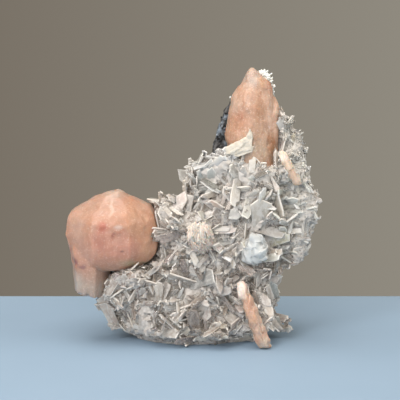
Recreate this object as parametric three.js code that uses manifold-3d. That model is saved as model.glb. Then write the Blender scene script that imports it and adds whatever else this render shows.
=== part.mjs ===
// An apophyllite cluster from a zeolite pocket in basalt: a slab of dark basalt that carries a thick
// crust of thin, glassy blades, with peach stilbite crystals and a pale blue knot seated in the crust.
// The frame: millimetres, +Z up, the best crystals towards -Y, the flat of the break at z = 0.

import * as THREE from "three";
import { ConvexGeometry } from "three/addons/geometries/ConvexGeometry.js";
import { ImprovedNoise } from "three/addons/math/ImprovedNoise.js";
import { mergeVertices } from "three/addons/utils/BufferGeometryUtils.js";
import Module from "manifold-3d";

// ---- Driving dimensions, in millimetres ----
const WIDTH = 101;
const HEIGHT = 109;
const DEPTH = 46;

const SEAT_GAP = 0.3; // clearance between a crystal and the pocket that it sits in
const ROUGHNESS = 1.4; // how far the crust swells and dips about a smooth lump
const ROUGH_SPAN = 9; // size of one such swell

const BLADE_WIDTH = 7.5;
const BLADE_THICKNESS = 1.4;
const BLADE_ROOT = 4; // how deep a blade's root lies in the crust
const BLADE_STAND = 3.4; // how far a blade's tip stands out of the crust
const BLADE_SPACING = 11.5; // distance between the large blades
const BLADE_LEAN = [25, 55]; // degrees from upright on the crust

// Shares of the driving dimensions, so that every place below scales with them.
const across = (share) => share * WIDTH;
const deep = (share) => share * DEPTH;
const up = (share) => share * HEIGHT;

const wasm = await Module();
wasm.setup();

// ---- Solids ----

// A closed three.js geometry as a solid that can be joined and cut.
function solidOf(geometry) {
  const bare = new THREE.BufferGeometry();
  const source = geometry.index ? geometry.toNonIndexed() : geometry;
  bare.setAttribute("position", source.getAttribute("position").clone());
  const merged = mergeVertices(bare, 1e-4);
  return new wasm.Manifold(
    new wasm.Mesh({
      numProp: 3,
      vertProperties: new Float32Array(merged.attributes.position.array),
      triVerts: new Uint32Array(merged.index.array),
    }),
  );
}

function geometryOf(solid) {
  const { vertProperties, triVerts } = solid.getMesh();
  const geometry = new THREE.BufferGeometry();
  geometry.setAttribute("position", new THREE.BufferAttribute(new Float32Array(vertProperties), 3));
  geometry.setIndex(new THREE.BufferAttribute(new Uint32Array(triVerts), 1));
  geometry.computeVertexNormals();
  return geometry;
}

const joined = (solids) => solids.reduce((whole, solid) => whole.add(solid));

const largestBody = (solid) =>
  solid.decompose().reduce((kept, body) => (body.volume() > kept.volume() ? body : kept));

// The same shape, larger by the gap on every side: the pocket that a crystal needs.
function grown(geometry, gap = SEAT_GAP) {
  const copy = geometry.clone();
  copy.computeBoundingBox();
  const middle = copy.boundingBox.getCenter(new THREE.Vector3());
  const size = copy.boundingBox.getSize(new THREE.Vector3());
  const { x, y, z } = size.clone().addScalar(2 * gap).divide(size);
  return copy.translate(-middle.x, -middle.y, -middle.z).scale(x, y, z)
    .translate(middle.x, middle.y, middle.z);
}

// Everything under the surface that the specimen stands on.
function underfoot() {
  const block = new THREE.BoxGeometry(3 * WIDTH, 3 * DEPTH, HEIGHT);
  return solidOf(block.translate(0, 0, -HEIGHT / 2));
}

// ---- Crystals ----

// A crystal is the hull of stacked polygons, each [height, x, y, half width, half depth].
function crystal(levels, sides) {
  const points = [];
  for (const [height, x, y, halfWidth, halfDepth] of levels) {
    for (let side = 0; side < sides; side += 1) {
      const angle = (2 * Math.PI * side) / sides - Math.PI / 2;
      const point = new THREE.Vector3(
        x + halfWidth * Math.cos(angle), y + halfDepth * Math.sin(angle), height);
      points.push(point);
    }
  }
  return new ConvexGeometry(points);
}

// A flat tablet with a pointed head, its root at the origin and its head towards +Z.
function tablet(length, width, thickness, rootShare = 0.7) {
  const half = width / 2;
  const outline = new THREE.Shape();
  outline.moveTo(-half * rootShare, 0);
  outline.lineTo(half * rootShare, 0);
  outline.lineTo(half, length * 0.5);
  outline.lineTo(half * 0.7, length * 0.86);
  outline.lineTo(-half * 0.1, length);
  outline.lineTo(-half, length * 0.7);
  const geometry = new THREE.ExtrudeGeometry(outline, { depth: thickness, bevelEnabled: false });
  return geometry.translate(0, 0, -thickness / 2).rotateX(Math.PI / 2);
}

const degrees = THREE.MathUtils.degToRad;

// Turns a crystal that stands on the origin about Y (its lean in the front view), then about X
// (its lean to the front), and sets its root down at a place.
function placed(geometry, place, leanRight = 0, leanForward = 0, spin = 0) {
  return geometry.rotateZ(degrees(spin)).rotateY(degrees(leanRight)).rotateX(degrees(leanForward))
    .translate(...place);
}

// The large stilbite on the left: a barrel of intergrown crystals under a low pointed crown.
function leftStilbite() {
  const x = across(-0.312);
  const y = deep(-0.1);
  return crystal([
    [up(0.556), x - across(0.002), y, across(0.03), deep(0.08)],
    [up(0.538), x - across(0.01), y, across(0.08), deep(0.17)],
    [up(0.502), x, y, across(0.15), deep(0.29)],
    [up(0.468), x, y, across(0.178), deep(0.34)],
    [up(0.42), x, y, across(0.187), deep(0.36)],
    [up(0.37), x, y, across(0.184), deep(0.35)],
    [up(0.325), x, y, across(0.168), deep(0.3)],
    [up(0.29), x - across(0.005), y, across(0.135), deep(0.22)],
  ], 8);
}

// The paler block that the left stilbite grows down into.
function leftStem() {
  return crystal([
    [up(0.33), across(-0.412), deep(-0.08), across(0.066), deep(0.22)],
    [up(0.25), across(-0.417), deep(-0.07), across(0.06), deep(0.21)],
    [up(0.18), across(-0.417), deep(-0.05), across(0.045), deep(0.16)],
  ], 6);
}

// The stilbite spire at the top: widest at a third of its height, with a blunt point.
function spire() {
  return crystal([
    [up(0.995), across(0.219), deep(-0.07), across(0.014), deep(0.03)],
    [up(0.955), across(0.222), deep(-0.08), across(0.045), deep(0.1)],
    [up(0.9), across(0.222), deep(-0.09), across(0.082), deep(0.15)],
    [up(0.84), across(0.228), deep(-0.1), across(0.108), deep(0.18)],
    [up(0.76), across(0.218), deep(-0.1), across(0.112), deep(0.18)],
    [up(0.69), across(0.222), deep(-0.1), across(0.085), deep(0.14)],
    [up(0.645), across(0.224), deep(-0.08), across(0.06), deep(0.1)],
  ], 8);
}

// A lens-shaped stilbite lath, its root at the origin.
function lath(length, width, thickness) {
  const [w, t] = [width / 2, thickness / 2];
  return crystal([
    [0, 0, 0, w * 0.45, t * 0.5],
    [length * 0.2, 0, 0, w * 0.82, t * 0.9],
    [length * 0.5, 0, 0, w, t],
    [length * 0.8, 0, 0, w * 0.75, t * 0.85],
    [length, 0, 0, w * 0.35, t * 0.4],
  ], 8);
}

const footLath = () =>
  placed(lath(up(0.235), across(0.068), deep(0.13)),
    [across(0.285), deep(-0.36), up(0.012)], -23, 4);

const shoulderLath = () =>
  placed(lath(up(0.12), across(0.048), deep(0.11)),
    [across(0.4), deep(-0.27), up(0.6)], -31, 6);

// The beige sheaf in the middle of the front.
const centreSheaf = () =>
  placed(lath(up(0.115), across(0.105), deep(0.2)),
    [across(0.045), deep(-0.37), up(0.36)], -22, 12);

// Three blocky apophyllite crystals grown through each other.
function blueKnot() {
  const block = (width, height, lean, place) =>
    placed(crystal([
      [0, 0, 0, width * 0.4, width * 0.36],
      [height * 0.25, 0, 0, width * 0.5, width * 0.45],
      [height * 0.75, 0, 0, width * 0.5, width * 0.42],
      [height, 0, 0, width * 0.14, width * 0.14],
    ], 6), place, lean, 8);
  return [
    block(across(0.064), up(0.1), -14, [across(0.238), deep(-0.36), up(0.335)]),
    block(across(0.057), up(0.075), 24, [across(0.245), deep(-0.37), up(0.33)]),
    block(across(0.05), up(0.07), -48, [across(0.234), deep(-0.37), up(0.34)]),
  ];
}

// The white tablet that lies across the foot of the spire.
const whiteTablet = () =>
  placed(tablet(up(0.115), across(0.062), deep(0.04), 0.9),
    [across(0.115), deep(-0.315), up(0.684)], 52, -4, 8);

// The tuft of small pale crystals behind the spire's point.
function tipTuft() {
  const needle = (lean, length, place) =>
    placed(tablet(length, across(0.03), deep(0.035)), place, lean, 0, 70);
  return [
    needle(6, up(0.062), [across(0.255), deep(-0.02), up(0.927)]),
    needle(24, up(0.055), [across(0.262), deep(-0.01), up(0.918)]),
    needle(38, up(0.05), [across(0.268), deep(-0.03), up(0.9)]),
  ];
}

// ---- Basalt ----

// A corner of a rock, given as shares of width and height, at a share of the depth.
const corners = (y, outline) =>
  outline.map(([x, z]) => new THREE.Vector3(across(x), deep(y), up(z)));

// The lower block of the slab, broken flat at its foot.
const basaltBlock = () => new ConvexGeometry([
  ...corners(0.14, [[-0.24, 0], [0.27, 0], [0.34, 0.25], [0.33, 0.5], [0.04, 0.54],
    [-0.16, 0.46], [-0.27, 0.24]]),
  ...corners(0.34, [[-0.23, 0], [0.25, 0], [0.32, 0.22], [0.31, 0.5], [0.03, 0.53],
    [-0.14, 0.43], [-0.25, 0.2]]),
  ...corners(0.46, [[-0.15, 0.06], [0.16, 0.05], [0.22, 0.3], [0.1, 0.42], [-0.12, 0.28]]),
]);

// The upper blade of the slab, which rises behind the spire and shows at its left.
const basaltBlade = () => new ConvexGeometry([
  ...corners(0.02, [[0.02, 0.46], [0.36, 0.44], [0.37, 0.62], [0.3, 0.78], [0.21, 0.86],
    [0.143, 0.885], [0.115, 0.84], [0.082, 0.76], [0.07, 0.68]]),
  ...corners(0.2, [[0.01, 0.46], [0.37, 0.42], [0.38, 0.63], [0.31, 0.79], [0.2, 0.88],
    [0.15, 0.875], [0.12, 0.82], [0.09, 0.74], [0.06, 0.62]]),
  ...corners(0.34, [[0.06, 0.4], [0.32, 0.38], [0.32, 0.6], [0.22, 0.76], [0.14, 0.7]]),
]);

// ---- Crust ----

// The swellings of the crust, as [x, y, z] and [half width, half depth, half height], out to the
// tips of their blades.
const LUMPS = [
  { at: [-0.02, 0, 0.155], reach: [0.36, 0.44, 0.19] }, // hearth
  { at: [0, -0.04, 0.05], reach: [0.34, 0.42, 0.1] }, // apron
  { at: [-0.21, 0, 0.18], reach: [0.18, 0.38, 0.165] }, // lower left
  { at: [-0.14, -0.02, 0.085], reach: [0.19, 0.37, 0.12] }, // left toe
  { at: [-0.345, 0, 0.165], reach: [0.08, 0.23, 0.115] }, // left ledge
  { at: [0.21, 0, 0.125], reach: [0.15, 0.4, 0.165] }, // lower right
  { at: [0.325, -0.02, 0.045], reach: [0.07, 0.22, 0.07] }, // right foot
  { at: [0.04, 0, 0.29], reach: [0.27, 0.45, 0.29] }, // trunk
  { at: [0.06, -0.01, 0.365], reach: [0.31, 0.43, 0.2] }, // middle
  { at: [-0.1, -0.02, 0.435], reach: [0.14, 0.33, 0.11] }, // left shoulder
  { at: [0.255, -0.02, 0.33], reach: [0.14, 0.38, 0.16] }, // waist
  { at: [0.21, -0.02, 0.47], reach: [0.22, 0.43, 0.28] }, // upper trunk
  { at: [0.075, -0.02, 0.58], reach: [0.13, 0.32, 0.115] }, // upper left
  { at: [0.22, -0.02, 0.56], reach: [0.22, 0.4, 0.17] }, // upper body
  { at: [0.375, -0.02, 0.475], reach: [0.13, 0.33, 0.22] }, // right wing
  { at: [0.36, 0, 0.68], reach: [0.11, 0.26, 0.135] }, // right ridge
  { at: [0.32, 0, 0.755], reach: [0.06, 0.17, 0.07] }, // ridge top
];

const noise = new ImprovedNoise();

// A lump's smooth form, made uneven so that no stretch of it is a plain ellipsoid.
function lump({ at, reach }) {
  const geometry = mergeVertices(new THREE.IcosahedronGeometry(1, 2));
  const places = geometry.getAttribute("position");
  const middle = new THREE.Vector3(across(at[0]), deep(at[1]), up(at[2]));
  const radii = new THREE.Vector3(across(reach[0]), deep(reach[1]), up(reach[2]));
  radii.subScalar(BLADE_STAND);
  const point = new THREE.Vector3();
  for (let i = 0; i < places.count; i += 1) {
    const outward = point.fromBufferAttribute(places, i).clone();
    point.multiply(radii).add(middle);
    const swell = noise.noise(point.x / ROUGH_SPAN, point.y / ROUGH_SPAN, point.z / ROUGH_SPAN);
    point.addScaledVector(outward, ROUGHNESS * swell);
    places.setXYZ(i, point.x, point.y, point.z);
  }
  return { geometry, middle, radii };
}

// How far outside a lump's surface a point lies, as a share of the lump's size: 0 is on it.
const outside = (point, { middle, radii }) =>
  point.clone().sub(middle).divide(radii).length() - 1;

// A small seeded generator of numbers from 0 to 1, so that the crust is the same each time.
function seeded(seed) {
  const [factor, step, range] = [1664525, 1013904223, 2 ** 32];
  let state = seed;
  return () => {
    state = (state * factor + step) % range;
    return state / range;
  };
}

// Large blades that lean out of one lump in every direction, spread evenly over its open surface.
function bladesOn(body, others, random) {
  const { middle, radii } = body;
  const area = (4 * Math.PI * radii.lengthSq()) / 3;
  const count = Math.round(area / BLADE_SPACING ** 2);
  const golden = Math.PI * (3 - Math.sqrt(5));
  const blades = [];
  for (let i = 0; i < count; i += 1) {
    const height = 1 - (2 * i + 1) / count;
    const ring = Math.sqrt(1 - height ** 2);
    const unit = new THREE.Vector3(
      ring * Math.cos(golden * i), ring * Math.sin(golden * i), height);
    const normal = unit.clone().divide(radii).normalize();
    const surface = unit.multiply(radii).add(middle);

    const sideways = new THREE.Vector3(random() - 0.5, random() - 0.5, random() - 0.5)
      .cross(normal).normalize();
    const lean = degrees(THREE.MathUtils.lerp(...BLADE_LEAN, random()));
    const heading = normal.clone().multiplyScalar(Math.cos(lean))
      .addScaledVector(sideways, Math.sin(lean));
    const stand = BLADE_STAND * (0.7 + 0.3 * random());
    const length = (BLADE_ROOT + stand) / Math.cos(lean);
    const foot = surface.clone().addScaledVector(normal, -BLADE_ROOT);
    const tip = foot.clone().addScaledVector(heading, length);
    const width = BLADE_WIDTH * (0.7 + 0.5 * random());
    const turn = Math.PI * random();

    const buried = others.some((other) => outside(surface, other) < 0.04);
    const atBack = surface.y > deep(0.16);
    if (buried || atBack || tip.z < BLADE_THICKNESS) continue;
    const upright = new THREE.Vector3(0, 0, 1);
    const facing = new THREE.Quaternion().setFromUnitVectors(upright, heading)
      .multiply(new THREE.Quaternion().setFromAxisAngle(upright, turn));
    const blade = tablet(length, width, BLADE_THICKNESS).applyQuaternion(facing);
    blades.push(solidOf(blade.translate(...foot)));
  }
  return blades;
}

// The whole crust: every lump and blade grown together in one solid.
function crust() {
  const lumps = LUMPS.map(lump);
  const random = seeded(7);
  const blades = lumps.flatMap((body) =>
    bladesOn(body, lumps.filter((other) => other !== body), random));
  return joined([...lumps.map(({ geometry }) => solidOf(geometry)), ...blades]);
}

// ---- The specimen ----

const finish = (color, roughness) =>
  new THREE.MeshStandardMaterial({ color, roughness, metalness: 0 });
const PEACH = finish("#d8a487", 0.45);
const PALE_PEACH = finish("#d1bfae", 0.45);
const BEIGE = finish("#b8a08e", 0.45);
const WHITE = finish("#ece4da", 0.4);
const ICE_BLUE = finish("#ccd2d2", 0.3);
const BASALT = finish("#3c4042", 0.8);
const GLASSY = finish("#b8b0a8", 0.3);

// In order of who keeps its full shape where two meet: each later piece is cut back from the
// pockets of the pieces above it.
const PIECES = [
  { name: "stilbite_spire", material: PEACH, parts: [spire()] },
  { name: "stilbite_left", material: PEACH, parts: [leftStilbite()] },
  { name: "stilbite_left_stem", material: BEIGE, parts: [leftStem()] },
  { name: "stilbite_foot_lath", material: PEACH, parts: [footLath()] },
  { name: "stilbite_shoulder_lath", material: PALE_PEACH, parts: [shoulderLath()] },
  { name: "stilbite_centre_sheaf", material: BEIGE, parts: [centreSheaf()] },
  { name: "white_tablet", material: WHITE, parts: [whiteTablet()] },
  { name: "tip_tuft", material: WHITE, parts: tipTuft() },
  { name: "apophyllite_blue_knot", material: ICE_BLUE, parts: blueKnot() },
  { name: "basalt_matrix", material: BASALT, parts: [basaltBlock(), basaltBlade()] },
];

const specimen = new THREE.Group();
const ground = underfoot();
const pockets = [];

function add(name, material, solid) {
  const cut = pockets.reduce((left, pocket) => left.subtract(pocket), solid.subtract(ground));
  const mesh = new THREE.Mesh(geometryOf(largestBody(cut)), material);
  mesh.name = name;
  specimen.add(mesh);
}

for (const { name, material, parts } of PIECES) {
  add(name, material, joined(parts.map(solidOf)));
  pockets.push(...parts.map((part) => solidOf(grown(part))));
}
add("blade_crust", GLASSY, crust());

// The origin goes under the middle of the specimen's box.
const middle = new THREE.Box3().setFromObject(specimen).getCenter(new THREE.Vector3());
specimen.position.set(-middle.x, -middle.y, 0);

export default specimen;
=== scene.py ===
"""The looks of the apophyllite cluster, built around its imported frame, in metres, +Z up.

A slab of dark basalt carries a bed of druse. Thousands of thin apophyllite blades grow out of the bed in
small books and fans, and peach stilbite crystals are seated among them. Each set of blades is one joined
mesh: a few blades are modelled, and copies of them are set out over the bed.
"""

import math

import bpy
import numpy as np
from mathutils import Matrix, Vector, noise
from mathutils.bvhtree import BVHTree
from mathutils.kdtree import KDTree


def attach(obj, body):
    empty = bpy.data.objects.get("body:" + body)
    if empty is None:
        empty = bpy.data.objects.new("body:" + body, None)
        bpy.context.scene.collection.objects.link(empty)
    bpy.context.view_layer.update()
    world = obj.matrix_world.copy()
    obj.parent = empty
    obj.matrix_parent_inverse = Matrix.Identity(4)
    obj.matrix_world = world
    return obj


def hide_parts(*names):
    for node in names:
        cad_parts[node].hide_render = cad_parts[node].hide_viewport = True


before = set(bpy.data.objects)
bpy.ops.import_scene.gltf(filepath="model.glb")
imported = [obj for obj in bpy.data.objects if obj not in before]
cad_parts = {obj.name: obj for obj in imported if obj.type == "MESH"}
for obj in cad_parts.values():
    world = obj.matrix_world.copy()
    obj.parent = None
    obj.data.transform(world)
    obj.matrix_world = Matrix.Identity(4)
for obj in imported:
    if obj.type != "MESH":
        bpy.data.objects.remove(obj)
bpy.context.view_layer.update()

MM = 0.001


# ---- Small helpers ----

def srgb(code):
    """A colour such as #b8b0a8 as the linear red, green, blue and alpha that shaders take."""
    parts = [int(code[i:i + 2], 16) / 255 for i in (1, 3, 5)]
    return [c / 12.92 if c <= 0.04045 else ((c + 0.055) / 1.055) ** 2.4 for c in parts] + [1.0]


def rgb(code):
    """The same colour as an array of its linear red, green and blue."""
    return np.array(srgb(code)[:3])


def fill(tree, socket, value):
    """Gives a socket its value, or links another node's output to it."""
    if isinstance(value, bpy.types.NodeSocket):
        tree.links.new(value, socket)
    else:
        socket.default_value = value


def add_node(tree, kind, inputs=None, **settings):
    """Adds a node with its settings. Each input is a value, or another node's output to link to it."""
    made = tree.nodes.new("ShaderNode" + kind)
    for name, value in settings.items():
        setattr(made, name, value)
    for name, value in (inputs or {}).items():
        fill(tree, made.inputs[name], value)
    return made


def new_material(name):
    """An empty node material: (material, its tree, its Principled shader, its output)."""
    material = bpy.data.materials.new(name)
    material.use_nodes = True
    tree = material.node_tree
    tree.nodes.clear()
    shader = tree.nodes.new("ShaderNodeBsdfPrincipled")
    output = tree.nodes.new("ShaderNodeOutputMaterial")
    tree.links.new(shader.outputs["BSDF"], output.inputs["Surface"])
    return material, tree, shader, output


def set_shader(tree, shader, **values):
    """Fills the shader's own sockets: roughness=0.3 sets Roughness, ior=1.5 sets IOR, and so on."""
    names = {"colour": "Base Color", "normal": "Normal", "roughness": "Roughness", "ior": "IOR",
             "transmission": "Transmission Weight", "specular": "Specular IOR Level",
             "subsurface": "Subsurface Weight", "radius": "Subsurface Radius",
             "depth": "Subsurface Scale", "coat": "Coat Weight", "coat_roughness": "Coat Roughness"}
    for name, value in values.items():
        fill(tree, shader.inputs[names[name]], value)


def only(obj):
    """Leaves this object selected and active, and nothing else."""
    for other in bpy.context.selected_objects:
        other.select_set(False)
    obj.select_set(True)
    bpy.context.view_layer.objects.active = obj


def apply_modifier(obj, kind, **settings):
    modifier = obj.modifiers.new(kind.lower(), kind)
    for name, value in settings.items():
        setattr(modifier, name, value)
    only(obj)
    bpy.ops.object.modifier_apply(modifier=modifier.name)


def places_of(mesh, field="co"):
    """Where each vertex is, in metres, as the rows of an array."""
    values = np.empty(len(mesh.vertices) * 3, np.float32)
    mesh.vertices.foreach_get(field, values)
    return values.reshape(-1, 3).astype(float)


def normals_of(mesh):
    return places_of(mesh, "normal")


def set_places(mesh, co):
    """Moves the vertices, to a thousandth of a millimetre, so that each run gives the same mesh."""
    mesh.vertices.foreach_set("co", np.round(co, 6).astype(np.float32).ravel())
    mesh.update()


def copy_of_node(node, name):
    """A copy of a CAD node with its loose triangles merged, to be shaped into the real surface."""
    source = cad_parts[node]
    mesh = source.data.copy()
    mesh.materials.clear()
    copy = bpy.data.objects.new(name, mesh)
    bpy.context.scene.collection.objects.link(copy)
    only(copy)
    bpy.ops.object.mode_set(mode="EDIT")
    bpy.ops.mesh.select_all(action="SELECT")
    bpy.ops.mesh.remove_doubles(threshold=0.01 * MM)
    bpy.ops.mesh.normals_make_consistent(inside=False)
    bpy.ops.object.mode_set(mode="OBJECT")
    return copy


def extruded(outline, way):
    """A flat outline, given as its corners in metres, pushed out along a vector into a closed slab."""
    bpy.ops.object.select_all(action="DESELECT")
    bpy.ops.mesh.primitive_circle_add(vertices=len(outline), radius=0.5, fill_type="NGON")
    slab = bpy.context.active_object
    set_places(slab.data, outline)
    bpy.ops.object.mode_set(mode="EDIT")
    bpy.ops.mesh.select_all(action="SELECT")
    bpy.ops.mesh.extrude_region_move(TRANSFORM_OT_translate={"value": way})
    bpy.ops.mesh.select_all(action="SELECT")
    bpy.ops.mesh.normals_make_consistent(inside=False)
    bpy.ops.object.mode_set(mode="OBJECT")
    return slab


def noise_at(points, size, shift=0.0):
    """Smooth noise between about -1 and 1 at each point, its features about the given size."""
    return np.array([noise.noise(p) for p in (points / size + shift).tolist()])


def keep(piece, slot, *nodes):
    """Hangs a finished piece on the whole specimen, so that it rides with it, and hides those CAD nodes,
    which it stands for.
    """
    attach(piece, "root")
    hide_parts(*nodes)
    return piece


# ---- Camera, light and table ----

CAMERA_ELEVATION = math.radians(8)
CAMERA_DISTANCE = 397.6 * MM
CAMERA_LENS = 90
CAMERA_TARGET = Vector((1.4, 1.2, 55.95)) * MM
CAMERA_PLACE = CAMERA_TARGET + CAMERA_DISTANCE * Vector(
    (0, -math.cos(CAMERA_ELEVATION), math.sin(CAMERA_ELEVATION)))
TABLE_BACK_EDGE = 74 * MM
LIGHT_AIM = Vector((0, 0, 0.05))
# Each area light: its name, its place and size in metres, its power in watts and its colour.
LIGHTS = [
    ("overhead", (-0.12, -0.1, 0.62), (0.6, 0.45), 3.5, "#fffaf4"),
    ("window", (-0.3, -0.4, 0.44), (0.13, 0.13), 1.1, "#fffcfa"),
    ("front_fill", (-0.2, -0.78, 0.3), (0.8, 0.7), 5.3, "#fffaf6"),
    ("right_rim", (0.55, -0.15, 0.42), (0.4, 0.4), 1.5, "#fffaf2"),
]


def add_camera():
    camera = bpy.data.objects.new("camera", bpy.data.cameras.new("camera"))
    camera.data.lens = CAMERA_LENS
    camera.data.sensor_width = 36
    camera.data.clip_start = 0.01
    turn = Matrix.Rotation(math.pi / 2 - CAMERA_ELEVATION, 4, "X")
    camera.matrix_world = Matrix.Translation(CAMERA_PLACE) @ turn
    bpy.context.scene.collection.objects.link(camera)
    bpy.context.scene.camera = camera


def add_light(name, place, size, watts, colour):
    light = bpy.data.lights.new(name, "AREA")
    light.shape = "RECTANGLE"
    light.size, light.size_y = size
    light.energy = watts
    light.color = srgb(colour)[:3]
    lamp = bpy.data.objects.new(name, light)
    aim = LIGHT_AIM - Vector(place)
    lamp.matrix_world = Matrix.Translation(place) @ aim.to_track_quat("-Z", "Y").to_matrix().to_4x4()
    bpy.context.scene.collection.objects.link(lamp)


def add_room():
    """A plain warm grey room, a little lighter towards the right."""
    world = bpy.data.worlds.new("room")
    bpy.context.scene.world = world
    world.use_nodes = True
    tree = world.node_tree
    tree.nodes.clear()
    where = add_node(tree, "TexCoord")
    direction = add_node(tree, "SeparateXYZ", {"Vector": where.outputs["Generated"]})
    across = add_node(tree, "MapRange", {
        "Value": direction.outputs["X"], "From Min": -0.25, "From Max": 0.25})
    wall = add_node(tree, "Mix", {
        "Factor": across.outputs["Result"], 6: srgb("#776f64"), 7: srgb("#928d82")}, data_type="RGBA")
    back = add_node(tree, "Background", {"Color": wall.outputs[2], "Strength": 1.0})
    output = add_node(tree, "OutputWorld")
    tree.links.new(back.outputs["Background"], output.inputs["Surface"])


def table_material():
    # Painted board, matt: a pale blue-grey with a faint mottle.
    material, tree, shader, _ = new_material("Matt painted board")
    where = add_node(tree, "TexCoord")
    mottle = add_node(tree, "TexNoise", {"Vector": where.outputs["Object"], "Scale": 25, "Detail": 2})
    colour = add_node(tree, "Mix", {
        "Factor": mottle.outputs["Fac"], 6: srgb("#8da5bb"), 7: srgb("#94abc1")}, data_type="RGBA")
    set_shader(tree, shader, colour=colour.outputs[2], roughness=0.6)
    return material


def add_table():
    thick, wide, deep = 30 * MM, 1.6, 1.4
    bpy.ops.mesh.primitive_cube_add(size=1, location=(0, TABLE_BACK_EDGE - deep / 2, -thick / 2))
    table = bpy.context.active_object
    table.name = "table"
    table.scale = (wide, deep, thick)
    bpy.ops.object.transform_apply(location=True, scale=True)
    apply_modifier(table, "BEVEL", width=3 * MM, segments=4)
    table.data.materials.append(table_material())


def set_up_stage():
    add_camera()
    add_room()
    add_table()
    for light in LIGHTS:
        add_light(*light)
    bpy.context.scene.view_settings.view_transform = "Standard"


# ---- Materials ----

def veiled_colour(tree, share, dark):
    """The blade's own colour with growth lines, a sugary frost and clear streaks: (colour, height).

    Share is how strong the frost is, and dark is the streaks' brightness.
    """
    own = add_node(tree, "Attribute", attribute_name="colour")
    grain = add_node(tree, "Attribute", attribute_name="grain")
    where = add_node(tree, "TexCoord")
    lines = add_node(tree, "TexNoise", {
        "Vector": grain.outputs["Vector"], "Scale": 0.5, "Detail": 4, "Roughness": 0.7})
    specks = add_node(tree, "TexNoise", {
        "Vector": where.outputs["Object"], "Scale": 1000 / 1.5, "Detail": 4, "Roughness": 0.8})
    both = add_node(tree, "Math", {0: lines.outputs["Fac"], 1: specks.outputs["Fac"]}, operation="ADD")
    clear = add_node(tree, "MapRange", {
        "Value": lines.outputs["Fac"], "From Min": 0.38, "From Max": 0.52, "To Min": dark, "To Max": 1.0})
    streaked = add_node(tree, "Mix", {
        "Factor": 1.0, 6: own.outputs["Color"], 7: clear.outputs["Result"]},
        data_type="RGBA", blend_type="MULTIPLY")
    cloudy = add_node(tree, "MapRange", {
        "Value": both.outputs["Value"], "From Min": 0.94, "From Max": 1.12, "To Max": share})
    milky = add_node(tree, "Mix", {
        "Factor": cloudy.outputs["Result"], 6: streaked.outputs[2], 7: srgb("#f0ebe4")}, data_type="RGBA")
    return milky.outputs[2], specks.outputs["Fac"]


def apophyllite(name, share, dark, bump, **values):
    """Apophyllite, veiled as above: (material, tree, output). Bump is its strength and its depth in mm."""
    material, tree, shader, output = new_material(name)
    colour, height = veiled_colour(tree, share, dark)
    strength, depth = bump
    relief = add_node(tree, "Bump", {"Height": height, "Strength": strength, "Distance": depth * MM})
    set_shader(tree, shader, colour=colour, normal=relief.outputs["Normal"], ior=1.535, **values)
    return material, tree, output


def apophyllite_milky():
    # Apophyllite, the milky face of a thin blade: greyish pink to white, light passing through it softly.
    return apophyllite("Apophyllite, milky", 0.7, 0.94, (0.3, 0.15), roughness=0.24, transmission=0.28,
                       subsurface=1.0, radius=(1.0, 0.99, 0.98), depth=2.0 * MM, coat=0.2,
                       coat_roughness=0.22)[0]


def apophyllite_edge():
    # Apophyllite, the edge of a blade: white, where light gathers inside the blade and comes out.
    return apophyllite("Apophyllite, white edge", 0.6, 0.95, (0.4, 0.12), roughness=0.15, transmission=0.1,
                       subsurface=0.7, radius=(1.0, 0.97, 0.94), depth=0.9 * MM)[0]


def apophyllite_clear():
    # Apophyllite, a clear blade: glassy and nearly colourless, with a few veils inside.
    material, tree, output = apophyllite("Apophyllite, clear", 0.5, 0.8, (0.25, 0.15), roughness=0.12,
                                         transmission=0.7)
    inside = add_node(tree, "VolumeAbsorption", {"Color": srgb("#e0dad2"), "Density": 12.0})
    tree.links.new(inside.outputs["Volume"], output.inputs["Volume"])
    return material


def druse():
    # Druse over basalt: a crust of crystals too small to tell apart, grainy, each grain paler in its middle.
    # Its own colour comes from the bed's paint, with shade painted in darker in the hollows.
    material, tree, shader, _ = new_material("Druse bed")
    own = add_node(tree, "Attribute", attribute_name="colour")
    where = add_node(tree, "TexCoord")
    grains = add_node(tree, "TexVoronoi", {"Vector": where.outputs["Object"], "Scale": 1000 / 1.2})
    light = add_node(tree, "Mix", {
        "Factor": grains.outputs["Distance"], 6: srgb("#d0cbc6"), 7: own.outputs["Color"]},
        data_type="RGBA")
    bump = add_node(tree, "Bump", {
        "Height": grains.outputs["Distance"], "Strength": 0.6, "Distance": 0.4 * MM})
    set_shader(tree, shader, colour=light.outputs[2], normal=bump.outputs["Normal"], roughness=0.45)
    return material


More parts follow.
